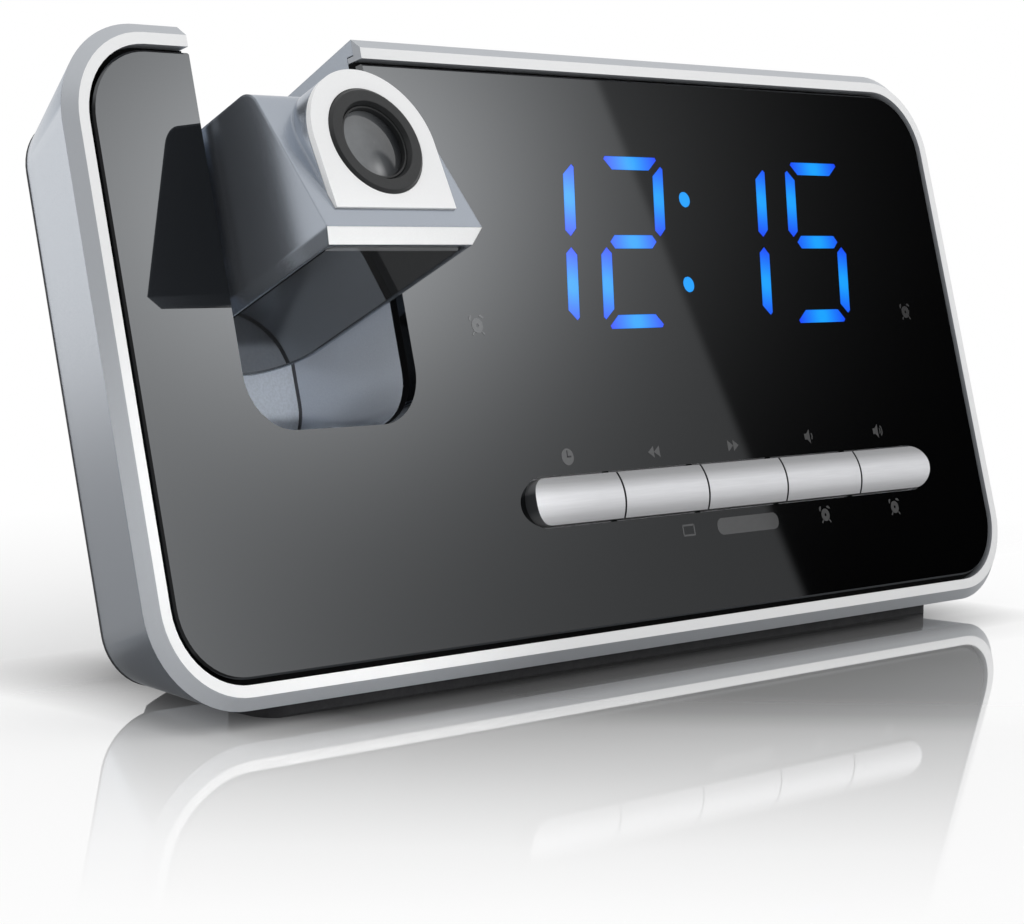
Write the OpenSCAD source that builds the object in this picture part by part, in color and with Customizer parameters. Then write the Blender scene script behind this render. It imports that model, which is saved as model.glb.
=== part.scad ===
// Projection alarm clock: a wide leaning body with a lit display and a key bar,
// and a projector head that folds into a notch at the top left.
// The origin is on the floor under the middle of the front face. +X runs to the
// right, +Y to the back and +Z up. Inside face() the axes are x to the right,
// d (the second one) back from the front face, and v (the third one) up it.

/* [Body] */
// Full width of the front
body_w = 190; // [184:1:220]
// Full height of the front, along its face
body_h = 94.4; // [92:0.2:100]
// Corner radius of the front
corner_r = 14.5; // [12:0.5:18]
// Angle at which the front leans back
lean = 15.27; // [12:0.01:18]
// Depth from the face to the joint with the rear cover
body_d = 26; // [25.5:0.1:30]
// Amount that each side narrows towards the rear
taper_x = 11; // [6:0.5:13]
// Amount that the top and bottom narrow towards the rear
taper_v = 6.2; // [4:0.1:7]
// Corner radius at the rear of the housing
rear_r = 8; // [7:0.5:10]
// Wall of the housing
wall = 2.2; // [1.8:0.1:2.6]

/* [Front] */
// Depth and width of the bright bevel round the front
bevel = 1.65; // [1:0.05:2]
// Width of the flat rim inside the bevel
rim = 1.65; // [1.2:0.05:2]
// Width of the dark groove between the rim and the panel
groove = 0.8; // [0.4:0.1:1.2]
// Thickness of the glossy panel
panel_t = 1.5; // [1.2:0.1:2]
// Bevel along the edge of the glossy panel
panel_edge = 0.3; // [0.2:0.05:0.5]
// Thickness of the dark carrier behind the panel
carrier_t = 1.4; // [1:0.1:1.8]
// Fit all round pieces that are set into one another
fit = 0.15; // [0.1:0.01:0.2]

/* [Notch] */
// Middle of the notch, from the middle of the face
notch_x = -57.05; // [-60:0.05:-54]
// Width of the notch
notch_w = 32; // [31:0.1:34]
// Depth of the notch, as the height of its floor on the face
notch_v = -10.2; // [-12:0.1:-9]
// Radius in the lower corners of the notch
notch_r = 8; // [6:0.5:10]
// Wall round the notch
notch_wall = 1.8; // [1.4:0.1:2.2]

/* [Display] */
// Middle of each digit across the face, at the height of its middle bar
digit_x = [-10.1, 10.7, 36.5, 57.3];
// Height of the middle bar of the digits on the face
digit_v = 16.5; // [15:0.5:18]
// Outer width of a digit
digit_w = 15.3; // [13:0.1:16]
// Outer height of a digit
digit_h = 27.8; // [24:0.1:29]
// Thickness of the level bars
level_bar = 2.1; // [1.6:0.1:2.4]
// Thickness of the upright bars
upright_bar = 2.4; // [1.8:0.1:2.6]
// Sideways shift per unit of height that makes the digits slant
slant = 0.197; // [0:0.001:0.22]
// Middle of the colon
colon_x = 23.4; // [22.5:0.1:24]
// Distance between the dots of the colon
colon_h = 14.1; // [10:0.1:16]
// Diameter of a dot of the colon
dot_d = 2.5; // [1.5:0.1:3]

/* [Keys] */
// Middle of the key bar across the face
key_x = 25.7; // [24:0.1:27]
// Height of the middle of the key bar on the face
key_v = -23.5; // [-24:0.1:-22]
// Distance from key to key
key_pitch = 19.55; // [18:0.05:19.8]
// Height of a key
key_h = 7.2; // [6:0.1:7.6]
// Gap round the keys
key_gap = 0.3; // [0.2:0.05:0.4]
// How far the crown of a key stands out of the face
key_crown = 1.6; // [1.2:0.1:2]
// How far the long edges of a key stand out of the face
key_edge = 0.6; // [0.3:0.1:0.9]
// Travel of a key
key_travel = 0.5; // [0.3:0.1:0.6]

/* [Head] */
// Angle by which the head is tipped forwards out of its notch
tilt = 78.4; // [0:0.1:78.4]
// Gap between the head and each side of its notch
head_gap = 1.7; // [1.5:0.1:1.8]
// Height of the head's front face above the middle of the body's face
head_top = 46.8; // [46:0.1:47.5]
// Depth of the head
head_d = 25.3; // [25:0.05:25.4]
// Slope of the head's end face
head_slope = 14.15; // [10:0.05:18]
// Height of the tilt axis on the face
pivot_v = 16.85; // [16.5:0.05:17]
// Depth of the tilt axis behind the face
pivot_d = 11.45; // [11.3:0.05:11.5]
// Bevel along the edges of the head's front
head_bevel = 1.05; // [0.6:0.05:1.3]
// Wall of the head
head_wall = 1.8; // [1.5:0.1:2]
// Half width of the head's glossy plate
plate_hw = 12.13; // [11.8:0.01:12.2]
// Width of the dark groove round that plate
plate_groove = 0.6; // [0.5:0.05:0.7]
// Diameter of the tilt pins
pin_d = 5; // [4:0.1:5.4]
// Outer diameter of the bushes
bush_d = 8; // [7.6:0.1:8.6]
// Running clearance of shafts and pins, on the radius
run_fit = 0.05; // [0.03:0.01:0.08]

/* [Projector] */
// Depth of the light path behind the head's front
optic_d = 15; // [14.6:0.1:15.2]
// Radius of the rounded lens surround
boss_r = 11; // [10.5:0.1:11.2]
// Distance from the light path to the straight side of the surround
boss_flat = 10.1; // [9.6:0.1:10.4]
// Height of the front of the surround along the light path
boss_v = 46.4; // [46:0.1:46.8]
// Thickness of the white surround plate
surround_t = 1; // [0.8:0.1:1.4]
// Diameter of the focus ring where it shows
ring_d = 16; // [15.6:0.1:16.6]
// Diameter of the light tube
tube_d = 13.9; // [13.4:0.1:14]
// Diameter of the lens barrel
barrel_d = 11.08; // [10.8:0.01:11.2]
// Focus travel to each side
focus_travel = 0.6; // [0.3:0.1:0.8]

/* [Rear] */
// Thickness of the rear cover
cover_t = 2.4; // [2.2:0.1:3]
// Bevel round the rear cover
cover_bevel = 2; // [1:0.1:2.2]
// Half width of the hump on the rear cover
hump_hw = 65; // [64:1:67]
// Depth of the hump behind the face
hump_d = 42; // [41.5:0.5:46]
// Height on the face at which the hump starts
hump_top = 20; // [18:1:24]
// Height on the face at which the hump's slope ends
hump_low = 8; // [6:1:10]
// Clearance of the hump from the floor
hump_floor = 2; // [1.6:0.1:2.4]
// Wall of the hump
hump_wall = 2.2; // [1.8:0.1:2.6]
// Distance of the rear screws from the edges of the rear cover
screw_inset = 8; // [7.5:0.5:8.5]
// Diameter of the rear screws
screw_d = 3; // [2.5:0.1:3.2]
// Diameter of a backup cell
cell_d = 10.5; // [10:0.1:10.6]
// Length of a backup cell
cell_l = 44.5; // [44:0.1:45]

/* [Feet] */
// Height of the body's lower front edge above the floor
foot_h = 2.2; // [2:0.1:3]
// Half length of the front foot strip
foot_hw = 75; // [60:1:76]
// Width of the front foot strip
foot_w = 11.4; // [8:0.2:12]
// Diameter of a rear foot
pad_d = 10; // [6:0.5:11]

/* [Hidden] */
$fn = 64;
eps = 0.01;
front_hw = body_w / 2;
front_hv = body_h / 2;
face_z = foot_h + front_hv * cos(lean) + bevel * sin(lean);
panel_back = panel_edge / 3 + panel_t;
panel_front = panel_back - panel_t;
carrier_back = panel_back + carrier_t;
lip_t = 0.8;
flange_t = 1.2;
flange_back = carrier_back + flange_t;
rim_in = bevel + rim;
panel_in = rim_in + groove;
back_hw = front_hw - taper_x;
back_hv = front_hv - taper_v;
screw_x = back_hw - screw_inset;
screw_v = back_hv - screw_inset;
notch_hw = notch_w / 2;
cover_back = body_d + cover_t;
pocket_relief = 0.8;

// Tilting head
head_hw = notch_hw - head_gap;
swing_r = head_d - pivot_d;
head_corner_r = 3;
head_foot_r = 10;
head_top_bevel = 1.8;
tongue_v = 0.3;
tongue_d = 2.2;
plate_top = head_top - 3;
plate_foot = tongue_v + 1.2;
plate_r = 8;
thrust_d = pin_d + 4;
thrust_gap = 0.3;
bush_in = notch_hw - 0.3;
bush_out = notch_hw + notch_wall + 1.8;

// Keys
key_count = 5;
key_front = -key_edge;
key_w = key_pitch - 0.4;
key_bar_hw = key_count * key_pitch / 2 - 0.2;
slot_hw = key_bar_hw + key_gap + 0.4;
slot_r = key_h / 2 + key_gap;
flange_hv = slot_r + 0.6;
key_flange = panel_back + 0.15;
key_flange_t = 1;
stem_back = key_flange + key_flange_t + 1.15;
switch_front = stem_back + key_travel + 0.1;
switch_h = 3.4;
board_t = 1.6;
key_board_d = switch_front + 0.6 + switch_h;
key_board_hw = key_bar_hw + 3;
key_board_hv = 8;
switch_w = 6;

// Display
guide_t = 1;
guide_x0 = digit_x[0] - digit_w / 2 - 4;
guide_x1 = digit_x[3] + digit_w / 2 + 4;
guide_hv = digit_h / 2 + 2;
module_d0 = panel_back + guide_t + 0.1;
module_d1 = module_d0 + 6.8;

// Main board and rear pieces
main_board_d = body_d - 10;
main_board_x0 = notch_x + notch_hw + notch_wall + 2.4;
main_board_x1 = back_hw - 18;
main_board_v0 = 5 - back_hv;
main_board_v1 = 20;
board_inset = 3.4;
opening_inset = 7;
head_screw_d = 5.6;
head_screw_h = 1.4;
hump_in = hump_d - hump_wall;
hump_low_in = -(face_z - hump_floor - hump_in * sin(lean)) / cos(lean);
tub_x = 12;
tub_v = hump_low_in + 21;
tub_hw = cell_l / 2 + 2.75;
tub_hv = cell_d + 0.9;
tub_wall = 1.2;
cell_depth = body_d + 1 + tub_wall + cell_d / 2 + 0.3;
door_hw = tub_hw + 0.8;
door_hv = tub_hv + 0.9;
door_gap = 0.2;
door_t = 1.4;
speaker_x = -38;
speaker_v = hump_low_in + 23;
speaker_r = 16;
jack_x = hump_hw - 13;
jack_v = hump_low_in + 12;

// ---- placement ----

// Puts x, d, v coordinates into the leaning body
module face() {
    translate([0, 0, face_z]) rotate([-lean, 0, 0]) children();
}

// Puts x, d, v coordinates of the folded head into its tipped place
module head() {
    face()
        translate([notch_x, pivot_d, pivot_v])
        rotate([tilt, 0, 0])
        translate([0, -pivot_d, -pivot_v])
        children();
}

// Plate with an outline in x and v, between two depths
module slab(d0, d1) {
    translate([0, d1, 0]) rotate([90, 0, 0]) linear_extrude(d1 - d0) children();
}

// Bar with a section in d and v, between two values of x
module along_x(x0, x1) {
    translate([x0, 0, 0]) rotate([90, 0, 90]) linear_extrude(x1 - x0) children();
}

// Round piece whose axis runs back from the face
module peg(x, v, d0, d1, r0, r1) {
    translate([x, d0, v]) rotate([-90, 0, 0]) cylinder(h = d1 - d0, r1 = r0, r2 = r1);
}

// Round piece across the head
module cross_pin(x0, x1, r) {
    translate([x0, pivot_d, pivot_v]) rotate([0, 90, 0]) cylinder(h = x1 - x0, r = r);
}

// Round piece along the light path
module optic(v0, v1, r0, r1) {
    translate([0, optic_d, v0]) cylinder(h = v1 - v0, r1 = r0, r2 = r1);
}

// ---- outlines and blocks ----

module rounded(hw, hv, r) {
    square([2 * (hw - r), 2 * hv], center = true);
    square([2 * hw, 2 * (hv - r)], center = true);
    for (sx = [-1, 1], sv = [-1, 1])
        translate([sx * (hw - r), sv * (hv - r)]) circle(r);
}

// Outline of the front, moved in by some amount
module front_outline(inset) {
    rounded(front_hw - inset, front_hv - inset, corner_r - inset);
}

// Rounded plate between two depths, smaller at its front by the given inset
module bevel_block(d0, d1, hw, hv, r, inset) {
    cx = hw - r;
    cv = hv - r;
    for (sx = [-1, 1], sv = [-1, 1])
        peg(sx * cx, sv * cv, d0, d1, r - inset, r);
    along_x(-cx, cx)
        polygon([[d0, inset - hv], [d1, -hv], [d1, hv], [d0, hv - inset]]);
    translate([0, 0, -cv]) linear_extrude(2 * cv)
        polygon([[inset - hw, d0], [-hw, d1], [hw, d1], [hw - inset, d0]]);
}

// Block that narrows from one rounded outline to another
module taper(d0, front, d1, back) {
    hull() {
        slab(d0, d0 + eps) rounded(front[0], front[1], front[2], $fn = 96);
        slab(d1 - eps, d1) rounded(back[0], back[1], back[2], $fn = 96);
    }
}

// Notch outline, open at the top, widened by some amount
module notch_outline(grow) {
    hw = notch_hw + grow;
    r = notch_r + grow;
    foot = notch_v - grow;
    translate([notch_x - hw, foot + r]) square([2 * hw, 2 * front_hv]);
    translate([notch_x - hw + r, foot]) square([2 * (hw - r), r + 1]);
    for (s = [-1, 1]) translate([notch_x + s * (hw - r), foot + r]) circle(r);
}

// ---- digits ----

// Corner points of a digit's bars, from the middle of the digit
function top_bar(g) = [
    [1.75 - digit_w / 2 - g, digit_h / 2 + g], [digit_w / 2 - 1.75 + g, digit_h / 2 + g],
    [digit_w / 2 - 1.45 + g, digit_h / 2 - 0.45], [digit_w / 2 - upright_bar - 0.9 + g / 2, digit_h / 2 - level_bar - g],
    [upright_bar + 0.9 - digit_w / 2 - g / 2, digit_h / 2 - level_bar - g], [1.45 - digit_w / 2 - g, digit_h / 2 - 0.45]
];
function side_bar(g) = [
    [digit_w / 2 - upright_bar - g, digit_h / 2 - level_bar - 1], [digit_w / 2 - 0.5, digit_h / 2 - 1.5 + g],
    [digit_w / 2 + g, digit_h / 2 - 1.9 + g], [digit_w / 2 + g, level_bar - g],
    [digit_w / 2 - 1.25, 0.9 - g], [digit_w / 2 - upright_bar - g, level_bar - 0.25 - g / 2]
];
function middle_bar(g) = [
    [upright_bar - digit_w / 2 - 0.15 - g, 0], [upright_bar - digit_w / 2 + 0.85 - g / 2, level_bar / 2 + g],
    [digit_w / 2 - upright_bar - 0.85 + g / 2, level_bar / 2 + g], [digit_w / 2 - upright_bar + 0.15 + g, 0],
    [digit_w / 2 - upright_bar - 0.85 + g / 2, -level_bar / 2 - g], [upright_bar - digit_w / 2 + 0.85 - g / 2, -level_bar / 2 - g]
];

// Bars a to g, each as a shape and its mirror signs in x and v
function bar(name, g) =
    name == "a" ? place(top_bar(g), 1, 1) :
    name == "b" ? place(side_bar(g), 1, 1) :
    name == "c" ? place(side_bar(g), 1, -1) :
    name == "d" ? place(top_bar(g), 1, -1) :
    name == "e" ? place(side_bar(g), -1, -1) :
    name == "f" ? place(side_bar(g), -1, 1) :
    place(middle_bar(g), 1, 1);
function place(points, sx, sv) = [for (p = points) [sx * p[0] + slant * sv * p[1], sv * p[1]]];

// Bars that are lit in each digit
lit = [["b", "c"], ["a", "b", "g", "e", "d"], ["b", "c"], ["a", "f", "g", "c", "d"]];

// Outline of all that is lit, widened by some amount
module lit_outline(g) {
    for (i = [0:3], name = lit[i])
        translate([digit_x[i], digit_v]) polygon(bar(name, g));
    for (s = [-1, 1])
        translate([colon_x + slant * s * colon_h / 2, digit_v + s * colon_h / 2]) circle(dot_d / 2 + g, $fn = 32);
}

// ---- front ----

module front_panel() {
    color("#101114") face() difference() {
        union() {
            bevel_block(panel_front, panel_front + panel_edge, front_hw - panel_in, front_hv - panel_in,
                        corner_r - panel_in, panel_edge);
            slab(panel_front + panel_edge, panel_back) front_outline(panel_in);
        }
        slab(-1, panel_back + 1) notch_outline(0);
        slab(-1, panel_back + 1) key_slot();
        slab(-1, panel_back + 1) lit_outline(run_fit);
    }
}

// Opening that the key bar stands in
module key_slot() {
    translate([key_x, key_v]) rounded(slot_hw, slot_r, slot_r - 0.05);
}

module front_carrier() {
    color("#0b0b0c") face() difference() {
        union() {
            slab(panel_back, carrier_back) front_outline(rim_in + fit);
            for (sx = [-1, 1], sv = [-1, 1])
                peg(key_x + sx * (key_board_hw - 2.5), key_v + sv * (key_board_hv - 2), carrier_back - eps,
                    key_board_d, 2, 2);
            for (x = [guide_x0 - 3, guide_x1 + 3], sv = [-1, 1])
                peg(x, digit_v + sv * (guide_hv - 2), carrier_back - eps, module_d1 + 0.1, 2.4, 2.4);
        }
        slab(0, carrier_back + 1) notch_outline(0);
        slab(0, carrier_back + 1) translate([key_x, key_v]) rounded(slot_hw + 0.3, flange_hv + 0.3, 2);
        slab(0, carrier_back + 1) display_window(fit);
    }
}

// Window for the light guide, widened by some amount
module display_window(grow) {
    translate([(guide_x0 + guide_x1) / 2, digit_v])
        square([guide_x1 - guide_x0 + 2 * grow, 2 * guide_hv + 2 * grow], center = true);
}

module bezel() {
    color("#eef0f2") face() difference() {
        union() {
            bevel_block(0, bevel, front_hw, front_hv, corner_r, bevel);
            slab(bevel, flange_back) front_outline(rim_in - lip_t);
        }
        slab(-1, carrier_back) front_outline(rim_in);
        slab(carrier_back - eps, flange_back + 1) front_outline(rim_in + 2.1);
        slab(-1, flange_back + 1) notch_outline(0);
        slab(carrier_back - eps, flange_back + 1) notch_outline(notch_wall + fit);
    }
}

module main_housing() {
    color("#b4bcc6") face() difference() {
        taper(bevel, [front_hw, front_hv, corner_r], body_d, [back_hw, back_hv, rear_r]);
        difference() {
            union() {
                taper(bevel - 1, [front_hw - wall, front_hv - wall, corner_r - wall],
                      body_d + 1, [back_hw - wall, back_hv - wall, rear_r - wall]);
                slab(0, flange_back + 0.1) front_outline(rim_in - lip_t - fit);
            }
            slab(carrier_back + 0.05, body_d + 2) notch_outline(notch_wall);
            for (sx = [-1, 1], sv = [-1, 1]) corner_post(sx, sv);
        }
        slab(0, body_d + 2) notch_outline(0);
        for (sx = [-1, 1], sv = [-1, 1])
            peg(sx * screw_x, sv * screw_v, body_d - 12, body_d + 2, screw_d / 2 + run_fit, screw_d / 2 + run_fit);
        translate([notch_x, 0, 0]) cross_pin(-notch_hw - 4, notch_hw + 4, bush_d / 2 + run_fit);
    }
}

// Screw post in a corner of the housing, with two ribs out to its walls
module corner_post(sx, sv) {
    rib = 1.6;
    peg(sx * screw_x, sv * screw_v, body_d - 14, body_d + 2, screw_d / 2 + 2.4, screw_d / 2 + 2.4);
    slab(body_d - 14, body_d + 2) translate([sx * screw_x, sv * screw_v]) {
        translate([sx * 8, 0]) square([16, rib], center = true);
        translate([0, sv * 8]) square([rib, 16], center = true);
    }
}

// ---- rear ----

// Height of the hump's lower face on the face scale, at a depth
function hump_foot(d, up) = -(face_z - hump_floor - up - d * sin(lean)) / cos(lean);

// Solid form of the hump, moved in by some amount
module hump_form(inset) {
    d0 = body_d + 0.4;
    soft = 3;
    back = hump_d - inset;
    intersection() {
        along_x(inset - hump_hw, hump_hw - inset) polygon([
            [d0, hump_foot(d0, inset)], [back - soft, hump_foot(back - soft, inset)],
            [back, hump_foot(back, inset) + soft], [back, hump_low - inset - soft],
            [back - soft / 2, hump_low - inset], [d0, hump_top - inset]
        ]);
        slab(d0 - 1, back + 1) translate([0, (hump_top + hump_foot(d0, 0)) / 2])
            rounded(hump_hw - inset, (hump_top - hump_foot(d0, 0)) / 2 - inset, 10 - inset);
    }
}

module rear_cover() {
    color("#2b2d31") face() difference() {
        union() {
            difference() {
                union() {
                    slab(body_d, cover_back - cover_bevel) rounded(back_hw, back_hv, rear_r);
                    translate([0, body_d + cover_back - 2 * eps, 0]) mirror([0, 1, 0])
                        bevel_block(body_d - 2 * eps, body_d + cover_bevel - eps, back_hw, back_hv, rear_r, cover_bevel);
                    hump_form(0);
                }
                intersection() {
                    hump_form(hump_wall);
                    slab(cover_back, hump_d) square([2 * front_hw, 2 * front_hv], center = true);
                }
                slab(body_d - 1, cover_back + eps) hump_mouth();
            }
            for (x = [main_board_x0 + board_inset, main_board_x1 - board_inset])
                for (v = [main_board_v0 + board_inset, main_board_v1 - board_inset])
                    peg(x, v, main_board_d + board_t, body_d + eps, 2.8, 2.8);
            difference() {
                slab(body_d + 1, hump_in + eps) translate([tub_x, tub_v])
                    square([2 * (tub_hw + tub_wall), 2 * (tub_hv + tub_wall)], center = true);
                slab(body_d + 1 + tub_wall, hump_d) tub_outline();
            }
            difference() {
                peg(speaker_x, speaker_v, hump_in - 3, hump_in + eps, speaker_r + 1.6, speaker_r + 1.6);
                peg(speaker_x, speaker_v, hump_in - 4, hump_in + 1, speaker_r + 0.1, speaker_r + 0.1);
            }
        }
        slab(body_d - 1, body_d + pocket_relief) notch_outline(0);
        slab(hump_in - 1, hump_d + 1) tub_outline();
        slab(hump_d - door_t - 0.1, hump_d + 1) translate([tub_x, tub_v])
            square([2 * door_hw, 2 * door_hv], center = true);
        slab(hump_in - 1, hump_d + 1) grille_outline();
        peg(jack_x, jack_v, hump_in - 1, hump_d + 1, 4.3, 4.3);
        for (sx = [-1, 1], sv = [-1, 1]) {
            peg(sx * screw_x, sv * screw_v, body_d - 1, cover_back + 1, screw_d / 2 + 0.2, screw_d / 2 + 0.2);
            peg(sx * screw_x, sv * screw_v, cover_back - head_screw_h - 0.1, cover_back + 1,
                head_screw_d / 2 + 0.3, head_screw_d / 2 + 0.3);
        }
        for (x = [main_board_x0 + board_inset, main_board_x1 - board_inset])
            for (v = [main_board_v0 + board_inset, main_board_v1 - board_inset])
                peg(x, v, main_board_d, body_d - 1, 1.2, 1.2);
    }
}

// Way from the body into the hump, inside the board's posts
module hump_mouth() {
    x0 = main_board_x0 + opening_inset;
    x1 = main_board_x1 - opening_inset;
    v0 = main_board_v0 + opening_inset;
    v1 = main_board_v1 - opening_inset;
    translate([x0, v0]) square([x1 - x0, v1 - v0]);
}

module tub_outline() {
    translate([tub_x, tub_v]) square([2 * tub_hw, 2 * tub_hv], center = true);
}

// Slots of the sound grille, shorter towards its top and bottom
module grille_outline() {
    for (i = [-3:3]) {
        v = i * 4;
        half = sqrt((speaker_r - 2.5) * (speaker_r - 2.5) - v * v);
        translate([speaker_x, speaker_v + v]) rounded(half, 0.9, 0.85, $fn = 24);
    }
}

module rear_screws() {
    color("#8d9096") face() for (sx = [-1, 1], sv = [-1, 1]) difference() {
        union() {
            peg(sx * screw_x, sv * screw_v, body_d - 8, cover_back - head_screw_h, screw_d / 2, screw_d / 2);
            peg(sx * screw_x, sv * screw_v, cover_back - head_screw_h - eps, cover_back - 0.1,
                head_screw_d / 2, head_screw_d / 2 - 0.6);
        }
        translate([sx * screw_x, cover_back, sv * screw_v]) {
            cube([3.4, 1.6, 0.8], center = true);
            cube([0.8, 1.6, 3.4], center = true);
        }
    }
}

module battery_door() {
    color("#2b2d31") face() translate([tub_x, 0, tub_v]) difference() {
        union() {
            slab(hump_d - door_t, hump_d)
                square([2 * (door_hw - door_gap), 2 * (door_hv - door_gap)], center = true);
            for (x = [-12, 12]) slab(hump_d - door_t - 1.6, hump_d - door_t + eps)
                translate([x, tub_hv - 1.2]) square([6, 1.2], center = true);
        }
        for (i = [0:3]) translate([0, hump_d, door_hv - 4 - 1.6 * i]) cube([12, 0.8, 0.7], center = true);
    }
}

module backup_cells() {
    color("#c9a45a") face() for (s = [-1, 1]) translate([tub_x, cell_depth, tub_v + s * (cell_d / 2 + 0.3)]) {
        rotate([0, 90, 0]) cylinder(h = cell_l - 1, r = cell_d / 2, center = true);
        translate([s * cell_l / 2 - s * 0.5, 0, 0]) rotate([0, 90, 0]) cylinder(h = 1, r = 1.9, center = true);
    }
}

module battery_contacts() {
    color("#c8ccd2") face() for (s = [-1, 1], e = [-1, 1])
        translate([tub_x + e * (tub_hw - 0.3), cell_depth, tub_v + s * (cell_d / 2 + 0.3)]) {
            cube([0.4, 8, 9], center = true);
            if (s == e) translate([-e * 0.8, 0, 0]) rotate([0, 90, 0]) cylinder(h = 1.6, r = 2.2, center = true);
            else translate([-e * 0.9, 0, 0]) rotate([0, 90, 0]) cylinder(h = 2.2, r1 = 3.2, r2 = 3.2, center = true);
        }
}

module speaker() {
    color("#1b1c1f") face() translate([speaker_x, 0, speaker_v]) rotate([-90, 0, 0]) rotate_extrude() polygon([
        [0, hump_in - 10.5], [8, hump_in - 10.5], [8, hump_in - 6.5], [10, hump_in - 6.5], [speaker_r, hump_in - 2.2],
        [speaker_r, hump_in - 0.1], [speaker_r - 2, hump_in - 0.1], [6, hump_in - 3.4], [4, hump_in - 2.6],
        [0, hump_in - 2.2]
    ]);
}

module main_board() {
    color("#1f5a3a") face() difference() {
        union() {
            slab(main_board_d, main_board_d + board_t) translate([main_board_x0, main_board_v0])
                square([main_board_x1 - main_board_x0, main_board_v1 - main_board_v0]);
            for (c = [[-12, 4, 12, 12, 2.2], [20, 8, 9, 9, 1.8], [38, -26, 14, 5, 4], [50, 6, 8, 16, 6]])
                slab(main_board_d + board_t - eps, main_board_d + board_t + c[4])
                    translate([c[0], c[1]]) square([c[2], c[3]], center = true);
            for (c = [[-20, -24, 4], [-8, -26, 3], [4, -25, 3], [58, -12, 4]])
                peg(c[0], c[1], main_board_d + board_t - eps, main_board_d + board_t + 6, c[2], c[2]);
        }
        for (x = [main_board_x0 + board_inset, main_board_x1 - board_inset])
            for (v = [main_board_v0 + board_inset, main_board_v1 - board_inset])
                peg(x, v, main_board_d - 1, main_board_d + board_t + 1, 1.4, 1.4);
    }
}

module board_screws() {
    color("#b9bcc2") face()
        for (x = [main_board_x0 + board_inset, main_board_x1 - board_inset])
            for (v = [main_board_v0 + board_inset, main_board_v1 - board_inset]) {
                peg(x, v, main_board_d - 1.3, main_board_d, 2.4, 2.4);
                peg(x, v, main_board_d - eps, body_d - 3, 1.1, 1.1);
            }
}

module power_jack() {
    color("#18191b") face() translate([jack_x, 0, jack_v]) difference() {
        union() {
            slab(hump_in - 10, hump_in - 0.1) square([9, 11], center = true);
            peg(0, 0, hump_in - 1, hump_d - 0.3, 4.1, 4.1);
        }
        difference() {
            peg(0, 0, hump_in - 8, hump_d + 1, 3.1, 3.1);
            peg(0, 0, hump_in - 9, hump_d - 1.3, 1, 1);
        }
    }
}

// ---- inside the front ----

module display_segments() {
    color("#3aa0ff") face() {
        slab(panel_back, panel_back + guide_t) display_window(0);
        slab(panel_front, panel_back + eps) lit_outline(0);
    }
}

module led_module() {
    color("#e8e8e4") face() slab(module_d0, module_d1) display_window(-0.8);
}

module display_board() {
    color("#1f5a3a") face() difference() {
        slab(module_d1 + 0.1, module_d1 + 0.1 + board_t) display_window(6);
        for (x = [guide_x0 - 3, guide_x1 + 3], sv = [-1, 1])
            peg(x, digit_v + sv * (guide_hv - 2), module_d1 - 1, module_d1 + 3, 1.2, 1.2);
    }
}

module key_board() {
    color("#1f5a3a") face() difference() {
        slab(key_board_d, key_board_d + board_t) translate([key_x, key_v])
            square([2 * key_board_hw, 2 * key_board_hv], center = true);
        for (sx = [-1, 1], sv = [-1, 1])
            peg(key_x + sx * (key_board_hw - 2.5), key_v + sv * (key_board_hv - 2), key_board_d - 1,
                key_board_d + 3, 1.1, 1.1);
    }
}

module tact_switches() {
    color("#3b3d42") face() for (i = [0:key_count - 1]) translate([key_centre(i), 0, key_v]) {
        slab(key_board_d - switch_h, key_board_d) square(switch_w, center = true);
        peg(0, 0, switch_front, key_board_d - switch_h + eps, 1.7, 1.7);
    }
}

// ---- keys ----

function key_centre(i) = key_x + (i - (key_count - 1) / 2) * key_pitch;

// One key: 0 is the left one with a round end, 4 the right one
module key(i) {
    crown_h = key_crown - key_edge;
    crown_r = (key_h * key_h / 4 + crown_h * crown_h) / (2 * crown_h);
    color("#c3c8ce") face() {
        intersection() {
            slab(-key_crown - 1, key_flange + eps) intersection() {
                translate([key_centre(i), key_v]) square([key_w, key_h], center = true);
                translate([key_x, key_v]) rounded(key_bar_hw, key_h / 2, key_h / 2 - 0.1);
            }
            translate([key_centre(i) - key_pitch, crown_r - key_crown, key_v]) rotate([0, 90, 0])
                cylinder(h = 2 * key_pitch, r = crown_r, $fn = 128);
        }
        slab(key_flange, key_flange + key_flange_t) translate([key_centre(i), key_v])
            square([key_w - 1, 2 * flange_hv], center = true);
        peg(key_centre(i), key_v, key_flange + key_flange_t - eps, stem_back, 1.5, 1.5);
    }
}

module clock_button() { key(0); }
module back_button() { key(1); }
module forward_button() { key(2); }
module quieter_button() { key(3); }
module louder_button() { key(4); }

// ---- feet ----

// Height of the body's underside above the floor, at a distance back
front_low = [bevel * cos(lean) - front_hv * sin(lean), face_z - front_hv * cos(lean) - bevel * sin(lean)];
back_low = [body_d * cos(lean) - back_hv * sin(lean), face_z - back_hv * cos(lean) - body_d * sin(lean)];
function underside(y) =
    front_low[1] + (y - front_low[0]) * (back_low[1] - front_low[1]) / (back_low[0] - front_low[0]);

module front_foot() {
    foot_y0 = front_low[0] + 2;
    foot_y1 = foot_y0 + foot_w;
    sag = 0.03;
    color("#1d1e20") intersection() {
        along_x(-foot_hw, foot_hw) polygon([
            [foot_y0 + 0.4, 0], [foot_y1 - 0.4, 0], [foot_y1, 0.4], [foot_y1, underside(foot_y1) - sag],
            [foot_y0, underside(foot_y0) - sag], [foot_y0, 0.4]
        ]);
        translate([0, (foot_y0 + foot_y1) / 2, -1]) linear_extrude(foot_h + 2)
            rounded(foot_hw, foot_w / 2, 4);
    }
}

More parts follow.
